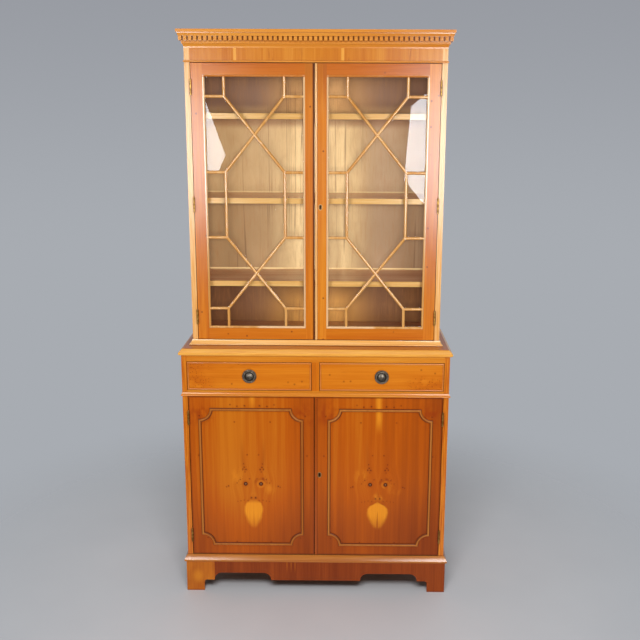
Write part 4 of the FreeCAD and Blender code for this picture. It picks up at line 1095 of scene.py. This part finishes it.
for side in ("left", "right"):
    low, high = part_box(side + "_glazed_pane")
    centre = Vector(((low.x + high.x) / 2, high.y + rebate_gap, (low.z + high.z) / 2))
    width = high.x - low.x - 2 * rebate_gap
    height = high.z - low.z - 2 * rebate_gap
    bpy.ops.object.select_all(action="DESELECT")
    bpy.ops.mesh.primitive_plane_add(size=1, location=centre, rotation=(math.pi / 2, 0, 0))
    bead = start_piece(side + "_glazing_bead")
    bpy.ops.transform.resize(value=(width, 1, height), center_override=centre)
    bpy.ops.mesh.inset(thickness=bead_width)
    bpy.ops.mesh.delete(type="FACE")
    bpy.ops.mesh.select_all(action="SELECT")
    bpy.ops.mesh.extrude_region_move(TRANSFORM_OT_translate={"value": (0, bead_depth, 0)})
    back = centre.y + bead_depth
    reach = (width / 2 - 0.5 * bead_width, height / 2 - 0.5 * bead_width)
    choose(bead, "EDGE", lambda co: co.y > back - 0.1 * MM and abs(co.x - centre.x) < reach[0]
           and abs(co.z - centre.z) < reach[1])
    bpy.ops.mesh.bevel(offset=bead_round, segments=4, profile=0.5)
    close_piece(bead, bead_wood)
    hang_on(bead, side + "_glazed_door", "yew_moulding")

# %% [markdown]
# ## Hinge screws
# Each brass leaf is held by three slotted countersunk screws, whose heads lie all but flush, because the two leaves
# close to less than half a millimetre. A head starts as a disc: a bevel softens its rim, two cuts mark out its slot,
# and the slot is pressed down. It is modelled once, facing along X. Every screw is a copy of it, with its slot turned
# as the screwdriver left it, and the screws of one body are joined.

# %% One screw head
head_radius = 3.0 * MM
head_proud = 0.12 * MM
slot_half = 0.45 * MM
slot_depth = 0.09 * MM


def disc(name, corners, radius, start, thickness, rim):
    """A cylinder facing along X with its far rim bevelled, left open for editing."""
    bpy.ops.object.select_all(action="DESELECT")
    bpy.ops.mesh.primitive_cylinder_add(vertices=corners, radius=radius, depth=thickness,
                                        location=(start + thickness / 2, 0, 0), rotation=(0, math.pi / 2, 0))
    piece = start_piece(name)
    choose(piece, "EDGE", lambda co: co.x > start + thickness * 0.9)
    bpy.ops.mesh.bevel(offset=rim, segments=2)
    return piece


screw = disc("screw_head", 24, head_radius, 0.0, head_proud, head_proud / 3)
for edge in (-slot_half, slot_half):
    bpy.ops.mesh.select_all(action="SELECT")
    bpy.ops.mesh.bisect(plane_co=(0, edge, 0), plane_no=(0, 1, 0))
choose(screw, "FACE", lambda co: co.x > head_proud * 0.5 and abs(co.y) < slot_half + 0.01 * MM)
bpy.ops.mesh.extrude_region_move(TRANSFORM_OT_translate={"value": (-slot_depth, 0, 0)})
close_piece(screw, brass)
print("screw head:", len(screw.data.polygons), "faces")


# %% Copies of one piece
def copies(pattern, name, places):
    """Copies of a piece, each with its own mesh moved by a matrix, joined into one piece."""
    bpy.ops.object.select_all(action="DESELECT")
    for place in places:
        copy = bpy.data.objects.new(name, pattern.data.copy())
        copy.data.transform(place)
        bpy.context.scene.collection.objects.link(copy)
        copy.select_set(True)
    bpy.context.view_layer.objects.active = copy
    bpy.ops.object.join()
    copy.name = name
    copy.data.name = name
    return copy


tell(copies)

# %% Places of the hinges
hinge_length = 50 * MM


def hinge_middles(node):
    """The height of the middle of each hinge in a node of hinge leaves."""
    heights = sorted(vertex.co.z for vertex in nodes[node].data.vertices)
    starts = [heights[0]] + [b for a, b in zip(heights, heights[1:]) if b - a > hinge_length]
    return [start + hinge_length / 2 for start in starts]


print("glazed hinges at", [round(middle / MM) for middle in hinge_middles("left_glazed_hinge_leaves")], "mm")

# %% Hinge screws
leaf_thickness = 0.8 * MM
screw_rises = (-18 * MM, 0.0, 18 * MM)
screw_depths = (10.5 * MM, 6.5 * MM, 10.5 * MM)
turns = random.Random(7)
carcass_places = []
for level, frame_node, side_node in (("glazed", "stiles", "upper"), ("cupboard", "panel", "base")):
    for side, facing in (("left", -1), ("right", 1)):
        door_low, door_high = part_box(f"{side}_{level}_{frame_node}")
        side_low, side_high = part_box(f"{side_node}_{side}_side")
        door_face = facing * (max(abs(door_low.x), abs(door_high.x)) + leaf_thickness)
        carcass_face = facing * (min(abs(side_low.x), abs(side_high.x)) - leaf_thickness)
        door_places = []
        for middle in hinge_middles(f"{side}_{level}_hinge_leaves"):
            for rise, depth in zip(screw_rises, screw_depths):
                for face, way, places in ((door_face, facing, door_places), (carcass_face, -facing, carcass_places)):
                    spot = Matrix.Translation((face, door_low.y + depth, middle + rise))
                    half_turn = Matrix.Rotation(0.0 if way > 0 else math.pi, 4, "Z")
                    places.append(spot @ half_turn @ Matrix.Rotation(turns.uniform(0, math.pi), 4, "X"))
        screws = copies(screw, f"{side}_{level}_hinge_screws", door_places)
        hang_on(screws, f"{side}_{level}_door", "brass")
hang_on(copies(screw, "carcass_hinge_screws", carcass_places), "carcass", "brass")
bpy.data.objects.remove(screw)

# %% [markdown]
# ## Back pins and pull nuts
# The two back panels are pinned into their rebates all round, and a pin head is a small flattened dome. Inside each
# drawer a washer and a square nut hold the pull's bolt. All are discs with a bevelled rim, and the nut is a disc with
# four corners.

# %% Back pins
pin_radius = 1.7 * MM
pin_proud = 0.7 * MM
pin_inset = 4.5 * MM
pin_spacing = 105 * MM
pin = disc("pin_head", 12, pin_radius, 0.0, pin_proud, pin_proud * 0.8)
close_piece(pin, bronze)


def spread(start, end, spacing):
    """Evenly spaced values from start to end, about a spacing apart."""
    steps = max(1, round((end - start) / spacing))
    return [start + (end - start) * step / steps for step in range(steps + 1)]


pin_places = []
for panel in ("upper_back_panel", "base_back_panel"):
    low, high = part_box(panel)
    x_values = spread(low.x + pin_inset, high.x - pin_inset, pin_spacing)
    z_values = spread(low.z + pin_inset, high.z - pin_inset, pin_spacing)
    spots = [(x, z) for x in x_values for z in (z_values[0], z_values[-1])]
    spots += [(x, z) for x in (x_values[0], x_values[-1]) for z in z_values[1:-1]]
    quarter = Matrix.Rotation(math.pi / 2, 4, "Z")
    pin_places += [Matrix.Translation((x, high.y, z)) @ quarter for x, z in spots]
hang_on(copies(pin, "back_panel_pins", pin_places), "carcass", "dark_bronze")
bpy.data.objects.remove(pin)

# %% Pull nuts
washer_radius = 8 * MM
washer_thickness = 1 * MM
nut_half = 4.5 * MM
nut_thickness = 3.5 * MM
bolt_radius = 2 * MM
bolt_end = 3 * MM
inside_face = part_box("right_drawer_front")[1].y
bolt_length = nut_thickness + bolt_end
parts = []
for name, corners, radius, start, thickness, rim in (
    ("washer", 32, washer_radius, 0.0, washer_thickness, washer_thickness / 4),
    ("nut", 4, nut_half * math.sqrt(2), washer_thickness, nut_thickness, 0.5 * MM),
    ("bolt", 20, bolt_radius, washer_thickness, bolt_length, 0.4 * MM),
):
    part = disc(name, corners, radius, start, thickness, rim)
    close_piece(part, bronze)
    parts.append(part)

bpy.ops.object.select_all(action="DESELECT")
for part in parts:
    part.select_set(True)
bpy.context.view_layer.objects.active = parts[0]
bpy.ops.object.join()
for side, facing in (("left", -1), ("right", 1)):
    spot = Matrix.Translation((facing * pull_x, inside_face, pull_z)) @ Matrix.Rotation(math.pi / 2, 4, "Z")
    hang_on(copies(parts[0], side + "_pull_nut", [spot]), side + "_drawer", "dark_bronze")
bpy.data.objects.remove(parts[0])
